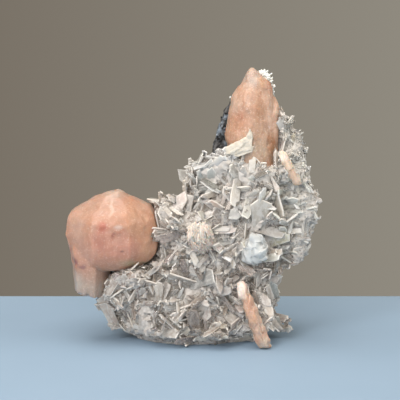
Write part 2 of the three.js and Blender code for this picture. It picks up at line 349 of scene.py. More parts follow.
def stilbite(name, streak, share, deep=3.0, mottled=(0.84, 1.1), sugar=0.25):
    # Stilbite: pearly and soft, because light goes a little way in. Fine paler streaks run along the
    # crystal, with a mottle and a sugary grain.
    material, tree, shader, _ = new_material(name)
    own = add_node(tree, "Attribute", attribute_name="colour")
    where = add_node(tree, "TexCoord")
    along = add_node(tree, "Mapping", {"Vector": where.outputs["Object"], "Scale": (1.0, 1.0, 0.13)})
    fine = add_node(tree, "TexNoise", {
        "Vector": along.outputs["Vector"], "Scale": 1000 / 1.3, "Detail": 3})
    streaks = add_node(tree, "MapRange", {
        "Value": fine.outputs["Fac"], "From Min": 0.5, "From Max": 0.78, "To Max": share})
    pale = add_node(tree, "Mix", {
        "Factor": streaks.outputs["Result"], 6: own.outputs["Color"], 7: srgb(streak)}, data_type="RGBA")
    mottle = add_node(tree, "TexNoise", {
        "Vector": where.outputs["Object"], "Scale": 1000 / 2.4, "Detail": 5, "Roughness": 0.7})
    shade = add_node(tree, "MapRange", {
        "Value": mottle.outputs["Fac"], "From Min": 0.3, "From Max": 0.7, "To Min": mottled[0],
        "To Max": mottled[1]})
    toned = add_node(tree, "Mix", {
        "Factor": 1.0, 6: pale.outputs[2], 7: shade.outputs["Result"]},
        data_type="RGBA", blend_type="MULTIPLY")
    specks = add_node(tree, "TexNoise", {
        "Vector": where.outputs["Object"], "Scale": 1000 / 0.75, "Detail": 2, "Roughness": 0.7})
    sugary = add_node(tree, "MapRange", {
        "Value": specks.outputs["Fac"], "From Min": 0.55, "From Max": 0.72, "To Max": sugar})
    sugared = add_node(tree, "Mix", {
        "Factor": sugary.outputs["Result"], 6: toned.outputs[2], 7: srgb("#f0ddd0")}, data_type="RGBA")
    # Towards the outline, where the surface turns away from the view, up to 30% of a paler colour is mixed
    # in: a painted highlight on the rim.
    turned_away = add_node(tree, "LayerWeight", {"Blend": 0.35})
    painted_rim_share = add_node(tree, "MapRange", {
        "Value": turned_away.outputs["Facing"], "From Min": 0.55, "To Max": 0.3})
    lit_edge = add_node(tree, "Mix", {
        "Factor": painted_rim_share.outputs["Result"], 6: sugared.outputs[2], 7: srgb("#d8c6ba")}, data_type="RGBA")
    height = add_node(tree, "Math", {0: mottle.outputs["Fac"], 1: specks.outputs["Fac"]}, operation="ADD")
    bump = add_node(tree, "Bump", {
        "Height": height.outputs["Value"], "Strength": 0.2, "Distance": 0.2 * MM})
    set_shader(tree, shader, colour=lit_edge.outputs[2], normal=bump.outputs["Normal"], roughness=0.36,
               ior=1.5, subsurface=0.85, radius=(1.0, 0.6, 0.42), depth=deep * MM)
    return material


def icy_apophyllite():
    # Apophyllite of the blue knot: icy and pale, clear under a smooth face, clouded inside.
    material, tree, shader, output = new_material("Apophyllite, icy blue")
    own = add_node(tree, "Attribute", attribute_name="colour")
    where = add_node(tree, "TexCoord")
    cloud = add_node(tree, "TexNoise", {
        "Vector": where.outputs["Object"], "Scale": 1000 / 3.5, "Detail": 3})
    milky = add_node(tree, "Mix", {
        "Factor": cloud.outputs["Fac"], 6: own.outputs["Color"], 7: srgb("#f0f2f1")}, data_type="RGBA")
    set_shader(tree, shader, colour=milky.outputs[2], roughness=0.2, ior=1.535, transmission=0.25,
               subsurface=0.7, radius=(0.95, 0.98, 1.0), depth=1.2 * MM)
    inside = add_node(tree, "VolumeAbsorption", {"Color": srgb("#eaeeee"), "Density": 6.0})
    tree.links.new(inside.outputs["Volume"], output.inputs["Volume"])
    return material


def white_crystal(name, dark, light):
    # White crystal, silky: opaque cream-white with a soft gloss and faint cleavage lines.
    material, tree, shader, _ = new_material(name)
    where = add_node(tree, "TexCoord")
    lines = add_node(tree, "TexNoise", {
        "Vector": where.outputs["Object"], "Scale": 1000 / 1.8, "Detail": 3})
    colour = add_node(tree, "Mix", {
        "Factor": lines.outputs["Fac"], 6: srgb(dark), 7: srgb(light)}, data_type="RGBA")
    bump = add_node(tree, "Bump", {"Height": lines.outputs["Fac"], "Strength": 0.3, "Distance": 0.2 * MM})
    set_shader(tree, shader, colour=colour.outputs[2], normal=bump.outputs["Normal"], roughness=0.38,
               subsurface=0.4, radius=(1.0, 0.9, 0.75), depth=1.2 * MM)
    return material


def basalt():
    # Basalt, freshly broken: near black and grainy, with a damp-looking gloss. Pale blue-grey patches are
    # painted in as glints of light, and tiny bright flecks as small crystals that glint.
    material, tree, shader, _ = new_material("Basalt")
    where = add_node(tree, "TexCoord")
    patches = add_node(tree, "TexNoise", {
        "Vector": where.outputs["Object"], "Scale": 1000 / 4, "Detail": 4, "Roughness": 0.65})
    # The pale blue-grey patches: painted glints of light on the dark rock.
    pale = add_node(tree, "MapRange", {
        "Value": patches.outputs["Fac"], "From Min": 0.47, "From Max": 0.74})
    body = add_node(tree, "Mix", {
        "Factor": pale.outputs["Result"], 6: srgb("#1f1f20"), 7: srgb("#97a4b0")}, data_type="RGBA")
    grains = add_node(tree, "TexVoronoi", {"Vector": where.outputs["Object"], "Scale": 1000 / 0.9})
    bright = add_node(tree, "MapRange", {
        "Value": grains.outputs["Color"], "From Min": 0.84, "From Max": 0.92, "To Max": 0.9})
    centre = add_node(tree, "MapRange", {
        "Value": grains.outputs["Distance"], "From Min": 0.25, "From Max": 0.4, "To Min": 1.0,
        "To Max": 0.0})
    fleck = add_node(tree, "Math", {
        0: bright.outputs["Result"], 1: centre.outputs["Result"]}, operation="MULTIPLY")
    colour = add_node(tree, "Mix", {
        "Factor": fleck.outputs["Value"], 6: body.outputs[2], 7: srgb("#c9d4de")}, data_type="RGBA")
    bump = add_node(tree, "Bump", {
        "Height": patches.outputs["Fac"], "Strength": 0.7, "Distance": 0.5 * MM})
    set_shader(tree, shader, colour=colour.outputs[2], normal=bump.outputs["Normal"], roughness=0.42,
               specular=0.6)
    return material


# ---- Shaping and colouring a crystal's body ----

def smooth_run(table, parts=10):
    """The rows of a table joined by a smooth curve that passes through each."""
    ends = np.vstack([2 * table[0] - table[1], table, 2 * table[-1] - table[-2]])
    rows = []
    for a, b, c, d in zip(ends, ends[1:], ends[2:], ends[3:]):
        for t in np.arange(parts) / parts:
            rows.append(0.5 * (2 * b + (c - a) * t + (2 * a - 5 * b + 4 * c - d) * t ** 2
                               + (3 * b - a - 3 * c + d) * t ** 3))
    rows.append(table[-1])
    return np.array(rows)


def lofted(name, levels, around, up, corners=6, flat=0.5, spin=-90):
    """A closed crystal body from its levels, each (height, left, right, front, back) in mm.

    The first level is its top and the last its bottom. The body has that many corners round it, one of
    them at the spin angle, and flat says how far its sides are flat between them, from 0, round, to 1.
    """
    bpy.ops.object.select_all(action="DESELECT")
    bpy.ops.mesh.primitive_uv_sphere_add(segments=around, ring_count=up, radius=1)
    body = bpy.context.active_object
    body.name = name
    ball = places_of(body.data)
    table = smooth_run(np.array(levels, float))
    reach = (table[:, 2] - table[:, 1] + table[:, 4] - table[:, 3]) / 4
    run = np.hypot(np.diff(table[:, 0]), np.diff(reach))
    share = np.concatenate([[0], np.cumsum(run)]) / run.sum()
    down = np.arccos(np.clip(ball[:, 2], -1, 1)) / math.pi
    height, left, right, front, back = (np.interp(down, share, table[:, k]) for k in range(5))
    angle = np.arctan2(ball[:, 1], ball[:, 0])
    sector = 2 * math.pi / corners
    swing = np.mod(angle - math.radians(spin), sector) - sector / 2
    radius = 1 - flat + flat * math.cos(sector / 2) / np.cos(swing)
    x, y = radius * np.cos(angle), radius * np.sin(angle)
    at_poles = np.hypot(ball[:, 0], ball[:, 1]) < 1e-4
    x, y = x / x[~at_poles].max(), y / y[~at_poles].max()
    x[at_poles] = y[at_poles] = 0
    co = np.column_stack([(left + right) / 2 + (right - left) / 2 * x,
                          (front + back) / 2 + (back - front) / 2 * y, height]) * MM
    set_places(body.data, co)
    return body


def fused(body, other, voxel):
    """Two crystals grown into one: their bodies joined, and the crease between them softened."""
    only(body)
    other.select_set(True)
    bpy.ops.object.join()
    apply_modifier(body, "REMESH", mode="VOXEL", voxel_size=voxel * MM)
    apply_modifier(body, "SMOOTH", factor=0.6, iterations=8)
    return body


def facets(co, count, stretch, step, tilt, random):
    """How far each point stands out where a surface breaks into long overlapping laths, in metres."""
    squeeze = np.array([1, 1, 1 / stretch])
    seeds = co[random.choice(len(co), count, replace=False)]
    tree = KDTree(count)
    for i, seed in enumerate(seeds * squeeze):
        tree.insert(seed, i)
    tree.balance()
    # The laths' borders wander by this much, in bends of this size, in mm.
    wander, bend_size = 0.35, 2.2
    warp = np.column_stack([noise_at(co, bend_size * MM, s) for s in (3, 17, 31)]) * wander * MM
    nearest = np.array([tree.find(p)[1] for p in ((co + warp) * squeeze).tolist()])
    heights = random.uniform(-1, 1, count)[nearest] * step
    slopes = random.normal(size=(count, 3))[nearest] * tilt
    return heights + ((co - seeds[nearest]) * squeeze * slopes).sum(axis=1)


def weather(body, count, stretch, step, tilt, seed, lumps=0.25, lump_size=5.0, fine=0.06):
    """Gives a crystal body its laths, its uneven growth and its fine striations.

    Count laths are stretched that many times along the crystal. Their step, and the lumps' height and
    size, and the striations' height, are in mm, and tilt is the laths' slope.
    """
    random = np.random.default_rng(seed)
    co, normals = places_of(body.data), normals_of(body.data)
    out = facets(co, count, stretch, step * MM, tilt, random)
    out += noise_at(co, lump_size * MM, seed) * lumps * MM
    # The striations are about half a millimetre apart and eight times as long.
    lines = co * np.array([1, 1, 0.12])
    out += noise_at(lines, 0.55 * MM, seed + 5) * fine * MM
    set_places(body.data, co + normals * out[:, None])
    return body


def paint(body, base, patches, wander=1.6, tone=1.0):
    """Gives each point of a body a colour: a base, and soft patches of other colours.

    A patch is its middle and its reach in mm, its colour, and its strength. Tone darkens all of it.
    """
    co = places_of(body.data) / MM
    drift = np.column_stack([noise_at(co, 5.0, s) for s in (0, 40, 80)]) * wander
    colour = np.tile(rgb(base), (len(co), 1))
    for middle, reach, code, strength in patches:
        distance = np.linalg.norm((co + drift - np.array(middle)) / np.array(reach), axis=1)
        share = strength * np.clip(1.5 - 1.5 * distance, 0, 1)[:, None]
        colour += (rgb(code) - colour) * share
    store_colour(body.data, colour * tone)


def store_colour(mesh, colour):
    made = mesh.attributes.new("colour", "FLOAT_COLOR", "POINT")
    made.data.foreach_set("color", np.column_stack([colour, np.ones(len(colour))]).ravel())


def finish_body(body, material, slot, *nodes, smooth=True):
    only(body)
    if smooth:
        bpy.ops.object.shade_smooth_by_angle(angle=math.radians(35))
    body.data.materials.append(material)
    return keep(body, slot, *nodes)


# ---- Stilbite and the other large crystals ----

def left_ball():
    """The thick crystal at the left: a stubby column under a low roof with two small tips."""
    ball = lofted("stilbite_left_crystal", [
        (61.0, -30.9, -30.3, -5.4, -2.4), (60.2, -34.2, -28.8, -8.2, 0.6),
        (58.5, -38.6, -26.6, -10.2, 3.0),
        (57.3, -41.0, -23.6, -11.4, 5.0), (55.8, -43.6, -20.6, -12.6, 6.6), (54.0, -46.7, -17.9, -14.8, 9.0),
        (51.9, -49.6, -16.6, -16.8, 10.8), (49.5, -50.5, -15.6, -18.2, 12.0),
        (46.8, -50.9, -15.0, -18.7, 12.9), (43.9, -51.2, -14.8, -18.9, 13.2),
        (40.7, -50.4, -14.9, -19.0, 13.0), (37.4, -49.6, -15.4, -18.7, 12.0),
        (34.6, -49.2, -17.0, -17.6, 10.0), (32.2, -48.8, -20.2, -15.8, 6.5),
        (30.2, -47.4, -24.6, -12.6, 2.5), (29.0, -41.0, -33.0, -7.2, -3.2),
        (28.8, -37.5, -36.5, -5.6, -4.6)], around=300, up=190, corners=8, flat=0.75, spin=-112)
    co = places_of(ball.data) / MM
    x, y, z = co.T
    # A small dip parts the two tips, and a low ridge runs from it down the roof's front.
    near_top = np.clip((z - 58.6) / 1.6, 0, 1)
    z = z - 0.3 * near_top * np.exp(-((x + 32.7) / 1.1) ** 2)
    ridge = np.exp(-((x + 32.6) / 0.7) ** 2) * np.clip((z - 51) / 3, 0, 1) * (y < -3)
    # The roof's lower edge stands a little over the column's front.
    eave = 47.9 - 0.12 * np.clip(x + 33, 0, 30)
    waist = (np.clip((eave - z) / 1.2, 0, 1) * np.clip((z - eave + 9) / 8, 0, 1)
             * np.clip((-y - 8) / 6, 0, 1) * np.clip((x + 41) / 4, 0, 1) * np.clip((-17 - x) / 5, 0, 1))
    y = y - 0.05 * ridge + 0.1 * waist
    # One small crystal face stands out of the front.
    across = np.maximum(abs(x + 30.1) / 2.1, abs((x + 30.1) * 0.5 + z - 47.6) / 2.0)
    y = y - 0.45 * np.clip(2.4 - 2.4 * across, 0, 1) * (y < -10)
    set_places(ball.data, np.column_stack([x, y, z]) * MM)
    ball = fused(ball, left_leg(), 0.36)
    weather(ball, 700, 1.5, 0.03, 0.02, 21, lumps=0.2, lump_size=2.8, fine=0.02)
    # The pale top is partly the crystal's own paler colour and partly painted highlight, the pale line down
    # the ridge is a painted highlight, and the lighter patch low on the right side is painted light. The
    # other patches are the crystal's own colours.
    paint(ball, "#d8a489", [
        ((-42, -6, 57), (16, 22, 8), "#d3ab96", 0.85),
        ((-32, -8, 60.5), (6, 12, 5), "#dcc3b4", 0.8),
        ((-22, -14, 50), (10, 14, 9), "#dba888", 0.85), ((-20, -8, 56), (6, 10, 4), "#d9b39f", 0.6),
        ((-32.6, -14, 55), (1.0, 9, 5), "#edd0bd", 0.7), ((-46, -12, 48), (7, 14, 8), "#ddb6a2", 0.8),
        ((-30, -18, 40), (15, 10, 8), "#dca18b", 0.9), ((-43, -16, 38), (8, 12, 8), "#dbac98", 0.8),
        ((-30.1, -18, 47.7), (1.6, 4, 1.3), "#dcc3b8", 0.8),
        ((-35.7, -18, 48.0), (3.6, 5, 3.0), "#da7d66", 0.75), ((-36, -18, 43), (5, 5, 5), "#cd8874", 0.6),
        ((-18, -12, 41), (7, 14, 11), "#f0bc9c", 0.9), ((-23, -14, 33.2), (9, 10, 2.6), "#ccb494", 0.85),
        ((-42, -8, 21.5), (17, 26, 12.5), "#c8b4a6", 1.0), ((-46.5, -12, 25), (3.5, 8, 6), "#d6cac0", 0.7),
        ((-49.5, -8, 37), (2.2, 6, 4), "#a57c80", 0.7),
        ((-47, -13, 34.5), (1.6, 4, 1.6), "#8b5f66", 0.8), ((-44.5, -15, 33), (2, 4, 1.2), "#9c7276", 0.7),
        ((-50.3, -6, 41.5), (0.9, 4, 0.9), "#7d5c52", 0.7),
        ((-29.0, -19, 38.5), (0.9, 3, 0.7), "#8a5a52", 0.8),
        ((-31.5, -19, 44.6), (0.8, 3, 1.0), "#a9685a", 0.7),
        ((-30, 12, 46), (20, 8, 16), "#d8a286", 0.5)], wander=1.8, tone=0.68)
    return finish_body(ball, stilbite("Stilbite, peach", "#efccb8", 0.14, mottled=(0.92, 1.05)),
                       "stilbite", "stilbite_left", "stilbite_left_stem")


def left_leg():
    """The foot of the left crystal, down its left side: upright faces and a ragged lower end."""
    leg = lofted("stilbite_left_leg", [
        (42.0, -45.0, -42.0, -9.2, 0), (40.4, -49.0, -39.6, -12.6, 4.5), (38.0, -50.0, -36.0, -14.8, 6.0),
        (34.0, -49.6, -34.4, -15.6, 6.6), (30.0, -49.2, -34.0, -15.4, 7.0), (25.0, -48.8, -34.4, -14.8, 7.0),
        (22.4, -48.6, -35.0, -14.4, 6.4), (21.0, -48.2, -35.4, -14.0, 6.0), (20.4, -46.8, -36.6, -12.4, 4.6),
        (20.2, -43.6, -39.6, -7, -1)], around=190, up=130, corners=6, flat=0.7, spin=-70)
    co = places_of(leg.data) / MM
    jag = noise_at(co * np.array([1, 1, 0.01]), 1.8, 5)
    co[:, 2] += (jag * 1.2 - 0.45 * np.clip(co[:, 0] + 42, 0, 7)) * np.clip((26 - co[:, 2]) / 5, 0, 1)
    set_places(leg.data, co * MM)
    return leg


def spire(material):
    """The tall pointed crystal at the top, with a second one grown along its right side."""
    tall = lofted("stilbite_spire_crystal", [
        (108.5, 21.2, 21.9, -3.8, -3.2), (107.6, 20.2, 23.0, -4.9, -2.0), (106.0, 19.2, 24.4, -6.2, -0.6),
        (104.0, 18.3, 26.6, -7.4, 0.8), (102.3, 17.4, 28.8, -8.4, 1.8), (98.2, 14.3, 29.8, -10.0, 3.4),
        (95.1, 13.4, 30.2, -10.8, 4.2), (92.6, 13.0, 30.4, -11.2, 4.6), (86.6, 11.8, 30.8, -11.8, 4.9),
        (81.3, 11.2, 30.9, -12.2, 4.9), (77.5, 12.4, 30.8, -12.4, 4.6), (73.5, 14.4, 30.6, -12.6, 3.8),
        (70.0, 16.0, 30.2, -12.2, 2.6), (68.4, 19.0, 27.0, -9.5, -0.5), (68.0, 22.6, 23.4, -6, -4)],
        around=230, up=210, corners=7, flat=0.2, spin=-84)
    side = lofted("stilbite_spire_side", [
        (97.6, 30.0, 30.4, -3.2, -2.8), (95.4, 28.4, 31.4, -5.2, -0.8), (93.4, 27.6, 32.1, -6.4, 0.6),
        (89.4, 27.2, 32.0, -7.4, 1.4), (85.2, 27.2, 32.5, -7.8, 1.8), (80.5, 27.0, 31.8, -8.2, 1.4),
        (75.0, 27.4, 31.2, -8.2, 0.4), (72.4, 28.6, 29.4, -5, -2.5)],
        around=110, up=120, corners=5, flat=0.4, spin=-100)
    tall = fused(tall, side, 0.34)
    weather(tall, 260, 1.8, 0.07, 0.045, 33, lumps=0.2, lump_size=3.2, fine=0.03)
    paint(tall, "#d3a78c", [
        ((21.5, -6, 105), (7, 9, 8), "#cbb4a5", 0.95), ((20, -9, 97), (8, 8, 7), "#d5ab90", 0.8),
        ((31.8, -3, 90), (1.6, 5, 9), "#e0c9bb", 0.8), ((14, -8, 96), (3, 8, 7), "#dcbfab", 0.7),
        ((17, -10, 88.0), (5, 7, 5.5), "#d09877", 0.8),
        ((24, -11, 92), (4, 6, 5), "#d2a382", 0.6), ((28.5, -7, 90), (4.2, 8, 12), "#f0cab2", 0.85),
        ((24, -10, 83), (6, 8, 6), "#d8b49a", 0.7), ((22, -10, 76), (9, 10, 8), "#d0b8a2", 0.95),
        ((28.6, -8, 79.5), (2.2, 7, 6), "#bd8860", 0.8), ((28.5, -6, 100.5), (2.2, 5, 3.5), "#dda08a", 0.6),
        ((25.5, -6, 102.5), (1.6, 5, 3), "#d4a677", 0.6),
        ((17, -11, 90.2), (0.8, 3, 1.8), "#c97f62", 0.5)], tone=0.73)
    return finish_body(tall, material, "stilbite", "stilbite_spire")


def foot_lath(material):
    """The crystal that leans at the front of the foot, its head pale."""
    lath = lofted("stilbite_foot_crystal", [
        (26.4, 16.6, 17.4, -17.0, -16.2), (25.6, 15.7, 18.8, -18.2, -15.0), (23.4, 15.6, 19.8, -18.8, -14.2),
        (21.0, 16.5, 20.9, -19.0, -14.0), (19.3, 17.2, 22.2, -19.2, -13.8), (13.0, 19.3, 25.0, -19.3, -13.4),
        (7.4, 21.3, 26.9, -19.2, -13.2), (2.6, 23.4, 28.8, -18.6, -13.2), (0.9, 24.2, 28.8, -17.6, -14.0),
        (0.4, 25.4, 27.8, -16, -15.4)], around=90, up=150, corners=6, flat=0.8, spin=-75)
    weather(lath, 60, 2.0, 0.24, 0.1, 51, lumps=0.5, lump_size=2.6, fine=0.05)
    paint(lath, "#d2ae98", [
        ((17.4, -17, 24.2), (3.6, 6, 4.6), "#f8eadf", 1.0), ((20.5, -19, 18), (2.4, 4, 3), "#dcb094", 0.8),
        ((22, -19, 13.5), (2.0, 4, 3.6), "#d6aa8c", 0.6), ((24.5, -18, 10), (2.6, 5, 7), "#cdb6a6", 0.7),
        ((26.3, -18, 3), (3, 5, 3.5), "#cbbcac", 0.8)], wander=0.8, tone=0.86)
    return finish_body(lath, material, "stilbite", "stilbite_foot_lath")


def shoulder_lath():
    """The small pale crystal at the upper right."""
    lath = lofted("stilbite_shoulder_crystal", [
        (76.8, 31.8, 32.6, -12.2, -11.6), (75.6, 31.2, 34.4, -13.0, -10.6), (72.0, 32.5, 36.5, -13.9, -10.0),
        (69.0, 34.1, 38.5, -14.4, -9.8), (66.0, 35.8, 39.9, -14.6, -9.6), (64.2, 36.8, 40.0, -14.2, -9.8),
        (63.5, 38.2, 39.2, -13, -11.5)], around=70, up=110, corners=6, flat=0.85, spin=-75)
    weather(lath, 45, 2.5, 0.2, 0.06, 61, lumps=0.25, lump_size=3.0, fine=0.05)
    paint(lath, "#d3c0ae", [((32.5, -13, 74.5), (3, 4, 3), "#ece2d6", 0.8),
                            ((36.5, -14, 68), (2.0, 4, 4), "#cdb29b", 0.6)], wander=0.8, tone=0.88)
    return finish_body(lath, stilbite("Stilbite, cream", "#eadfd2", 0.4), "stilbite_pale",
                       "stilbite_shoulder_lath")


def blades_round(name, foot, middle, reach, count, seed, shapes, length, width, thick, colours, edge,
                 stray=0.8):
    """Blades that overlap over a round body and all run away from its foot.

    Lengths are in mm. Edge is the range of the edges' whiteness, and stray is how far the blades wander.
    """
    random = np.random.default_rng(seed)
    blades = BladeSet(name)
    foot, middle, reach = (np.array(v, float) for v in (foot, middle, reach))
    for _ in range(count):
        way = unit(random.normal(size=3))
        # Few of them are at the back, where the bed is.
        if way[1] > 0.3:
            way[1] = -way[1]
        head = middle + way * reach
        path = head - foot + random.normal(size=3) * stray
        along = unit(path - way * np.dot(path, way) * 0.75)
        outward = unit(way + random.normal(size=3) * 0.5)
        outward = unit(outward - along * np.dot(outward, along))
        turn = axes(outward, along)
        long = min(random.uniform(*length), np.linalg.norm(path) + 1)
        start = head - along * long * 0.9 - way * 0.4
        size = np.array([random.uniform(*width), random.uniform(*thick), long]) * MM
        shade = rgb(colours[random.integers(len(colours))]) * random.uniform(0.72, 0.96)
        blades.add(shapes[random.integers(len(shapes))], turn, start * MM, size, shade,
                   random.uniform(*edge), bend=random.normal() * 0.01)
    return blades


def centre_sheaf(shapes):
    """A sheaf of tan laths that fans out from a narrow foot."""
    blades = blades_round(
        "stilbite_centre_laths", (2.4, -16.5, 38.0), (1.4, -15.0, 44.6), (4.9, 4.6, 5.6), 280, 71, shapes,
        length=(2.5, 5.5), width=(0.8, 1.7), thick=(0.3, 0.6),
        colours=["#e2d2c6", "#e8dacf", "#dccabd", "#ede2d8"], edge=(0.1, 0.4), stray=2.2)
    tan = stilbite("Stilbite, tan", "#e0d3c6", 0.3, deep=0.2)
    return keep(blades.build([tan] * 3), "stilbite_beige", "stilbite_centre_sheaf")


def blue_knot(shapes):
    """A smooth icy lump among stepped, whitish shards."""
    knot = lofted("apophyllite_icy_lump", [
        (46.0, 21.0, 22.4, -18.0, -17.0), (44.8, 19.9, 24.8, -19.2, -15), (42.2, 19.0, 25.6, -19.8, -13.6),
        (39.6, 18.2, 26.4, -20.0, -13.0), (37.0, 17.8, 27.4, -19.4, -12.8), (35.2, 18.6, 26.6, -18.6, -13),
        (34.2, 20.8, 24.5, -17.4, -14)], around=110, up=90, corners=7, flat=0.8, spin=-85)
    weather(knot, 34, 1.2, 0.5, 0.16, 81, lumps=0.6, lump_size=2.6, fine=0.0)
    paint(knot, "#d4d4d0", [((22, -20, 41), (3.6, 4, 5), "#dae0e2", 0.8),
                            ((27.5, -18, 38), (2.5, 4, 3), "#f0efe8", 0.7),
                            ((20, -18, 35.5), (4, 4, 2), "#f4f4f0", 0.7)], wander=1.0, tone=0.85)
    ice = icy_apophyllite()
    shards = blades_round(
        "apophyllite_icy_shards", (22.0, -17.0, 42.0), (22.6, -14.8, 39.2), (5.2, 4.0, 5.6), 60, 83, shapes,
        length=(2.5, 5.0), width=(1.4, 3.0), thick=(0.5, 1.0), colours=["#eceff0", "#f2f2f0", "#e6e8e6"],
        edge=(0.3, 0.9))
    keep(shards.build([ice] * 3), "blue_apophyllite", "apophyllite_blue_knot")
    return finish_body(knot, ice, "blue_apophyllite", "apophyllite_blue_knot")


def white_tablet():
    """A flat white tablet of four steps with a pointed end, lying against the foot of the spire."""
    thick, front = 2.4, -13.2
    # Each step: how far it stands out of the front, and its outline (x, z).
    steps = [
        (0.0, [(11.6, 78.4), (15.4, 80.2), (19.2, 82.4), (20.2, 85.0), (21.3, 83.8), (21.0, 77.4),
               (15.5, 75.8), (12.0, 75.6)]),
        (0.35, [(11.0, 78.0), (16.6, 81.0), (18.0, 79.2), (14.8, 76.6), (11.4, 75.4)]),
        (0.25, [(15.5, 80.3), (18.9, 82.0), (20.3, 85.3), (20.9, 84.0), (20.0, 80.6), (17.0, 79.2)]),
        (-0.3, [(13.0, 75.4), (18.0, 77.8), (21.8, 78.6), (21.2, 76.6), (15.8, 74.4)])]
    # It leans: its upper right end stands nearer the front than its lower left end.
    slabs = [extruded([(x * MM, (front - step - (x - 12) * 0.12) * MM, z * MM) for x, z in outline],
                      (0, thick * MM, 0)) for step, outline in steps]
    for slab in slabs:
        slab.select_set(True)
    tablet = slabs[0]
    tablet.name = "white_tablet_crystal"
    bpy.context.view_layer.objects.active = tablet
    bpy.ops.object.join()
    apply_modifier(tablet, "REMESH", mode="VOXEL", voxel_size=0.2 * MM)
    weather(tablet, 90, 1.0, 0.08, 0.08, 91, lumps=0.2, lump_size=1.6, fine=0.0)
    return finish_body(tablet, white_crystal("White crystal, cream", "#cac1b1", "#dfd7ca"), "white_crystal",
                       "white_tablet")


def basalt_matrix():
    """The dark rock behind: broken faces, steps and small pits."""
    rock = copy_of_node("basalt_matrix", "basalt_rock")
    apply_modifier(rock, "REMESH", mode="VOXEL", voxel_size=0.9 * MM)
    apply_modifier(rock, "SMOOTH", factor=0.6, iterations=5)
    flat_foot = places_of(rock.data)[:, 2] < 0.8 * MM
    weather(rock, 420, 1.2, 0.55, 0.16, 101, lumps=0.9, lump_size=9.0, fine=0.0)
    co, normals = places_of(rock.data), normals_of(rock.data)
    pit_size, pit_depth, grain_size, grain_height = 2.4, 2.2, 0.9, 0.14
    pits = np.clip(noise_at(co, pit_size * MM, 12) - 0.35, 0, 1) * pit_depth * MM
    co -= normals * pits[:, None]
    co += normals * (noise_at(co, grain_size * MM, 5) * grain_height * MM)[:, None]
    co[:, 2] = np.where(flat_foot, 0, np.maximum(co[:, 2], 0))
    # Its upper left edge slopes up to the top in straight runs.
    edge = np.interp(co[:, 2] / MM, (72, 80, 88, 97), (6.6, 6.6, 9.4, 12.9)) * MM
    pull = np.clip((edge - co[:, 0]) / MM, 0, 9) * np.clip((co[:, 2] / MM - 64) / 6, 0, 1)
    co[:, 0] += pull * 0.85 * MM
    set_places(rock.data, co)
    return finish_body(rock, basalt(), "basalt", "basalt_matrix", smooth=False)


# ---- Blades ----

# A blade's outline, from its root at 0 to its head at 1, half a blade wide at +-0.5.
LATH_OUTLINES = [
    [(-0.44, 0), (0.44, 0), (0.5, 0.84), (0.14, 0.88), (0.1, 1), (-0.5, 0.93)],
    [(-0.4, 0), (0.4, 0), (0.5, 0.7), (0.2, 1), (-0.5, 0.78)],
    [(-0.46, 0), (0.46, 0), (0.5, 1), (-0.1, 0.9), (-0.14, 0.8), (-0.5, 0.76)],
    [(-0.46, 0), (0.46, 0), (0.5, 0.94), (-0.44, 1)],
]
PLATE_OUTLINES = [
    [(-0.42, 0), (0.4, 0), (0.5, 0.78), (0.24, 0.82), (0.2, 1), (-0.36, 0.94), (-0.5, 0.72)],
    [(-0.5, 0.12), (0.3, 0), (0.5, 0.8), (0.16, 0.88), (0.12, 1), (-0.3, 0.96)],
    [(-0.14, 0), (0.18, 0), (0.5, 0.78), (0.12, 1), (-0.5, 0.88)],
    [(-0.36, 0), (0.44, 0.1), (0.5, 0.66), (-0.02, 1), (-0.5, 0.62)],
]
# The material slots of every set of blades.
MILKY, CLEAR, EDGE = 0, 1, 2
RIM_HIGHLIGHT_COLOUR = "#ebe6de"
RIM_WIDTH = 0.38 * MM
SINK_LIMIT = 1.5 * MM


class BladeShape:
    """One modelled blade of unit size: its root at the origin, its faces towards -Y and +Y.

    A rimmed blade has a sloping rim round each face, so that its sides are thinner than its middle.
    """

    def __init__(self, outline, rimmed=True):
        blade = extruded([(x, 0.5, z) for x, z in outline], (0, -1, 0))
        places = places_of(blade.data)
        points = [tuple(p) for p in places]
        faces, rims = [], []
        for polygon in blade.data.polygons:
            corners = list(polygon.vertices)
            if abs(polygon.normal.y) < 0.5:
                rims.append(corners)
                continue
            ring = corners
            if rimmed:
                ring = list(range(len(points), len(points) + len(corners)))
                points.extend(points[i] for i in corners)
                for k, i in enumerate(corners):
                    k_next = (k + 1) % len(corners)
                    rims.append([i, corners[k_next], ring[k_next], ring[k]])
            faces.append(ring)
        self.faces = faces + rims
        self.on_rim = np.arange(len(self.faces)) >= len(faces)
        bpy.data.objects.remove(blade)
        self.points = np.array(points)
        self.inner = np.arange(len(points)) >= len(places)
        self.rimmed = rimmed
        if rimmed:
            self.points[~self.inner, 1] *= 0.4

    def placed(self, size, bend):
        """Its points in metres for a blade of this width, thickness and length."""
        co = self.points * size
        if self.rimmed:
            inward = np.array([0, 0, 0.5 * size[2]]) - co
            inward[:, 1] = 0
            inward /= np.linalg.norm(inward, axis=1)[:, None]
            co += inward * self.inner[:, None] * min(RIM_WIDTH, 0.17 * size[0])
        co[:, 1] += bend * (co[:, 2] / size[2]) ** 2 * size[2]
        return co


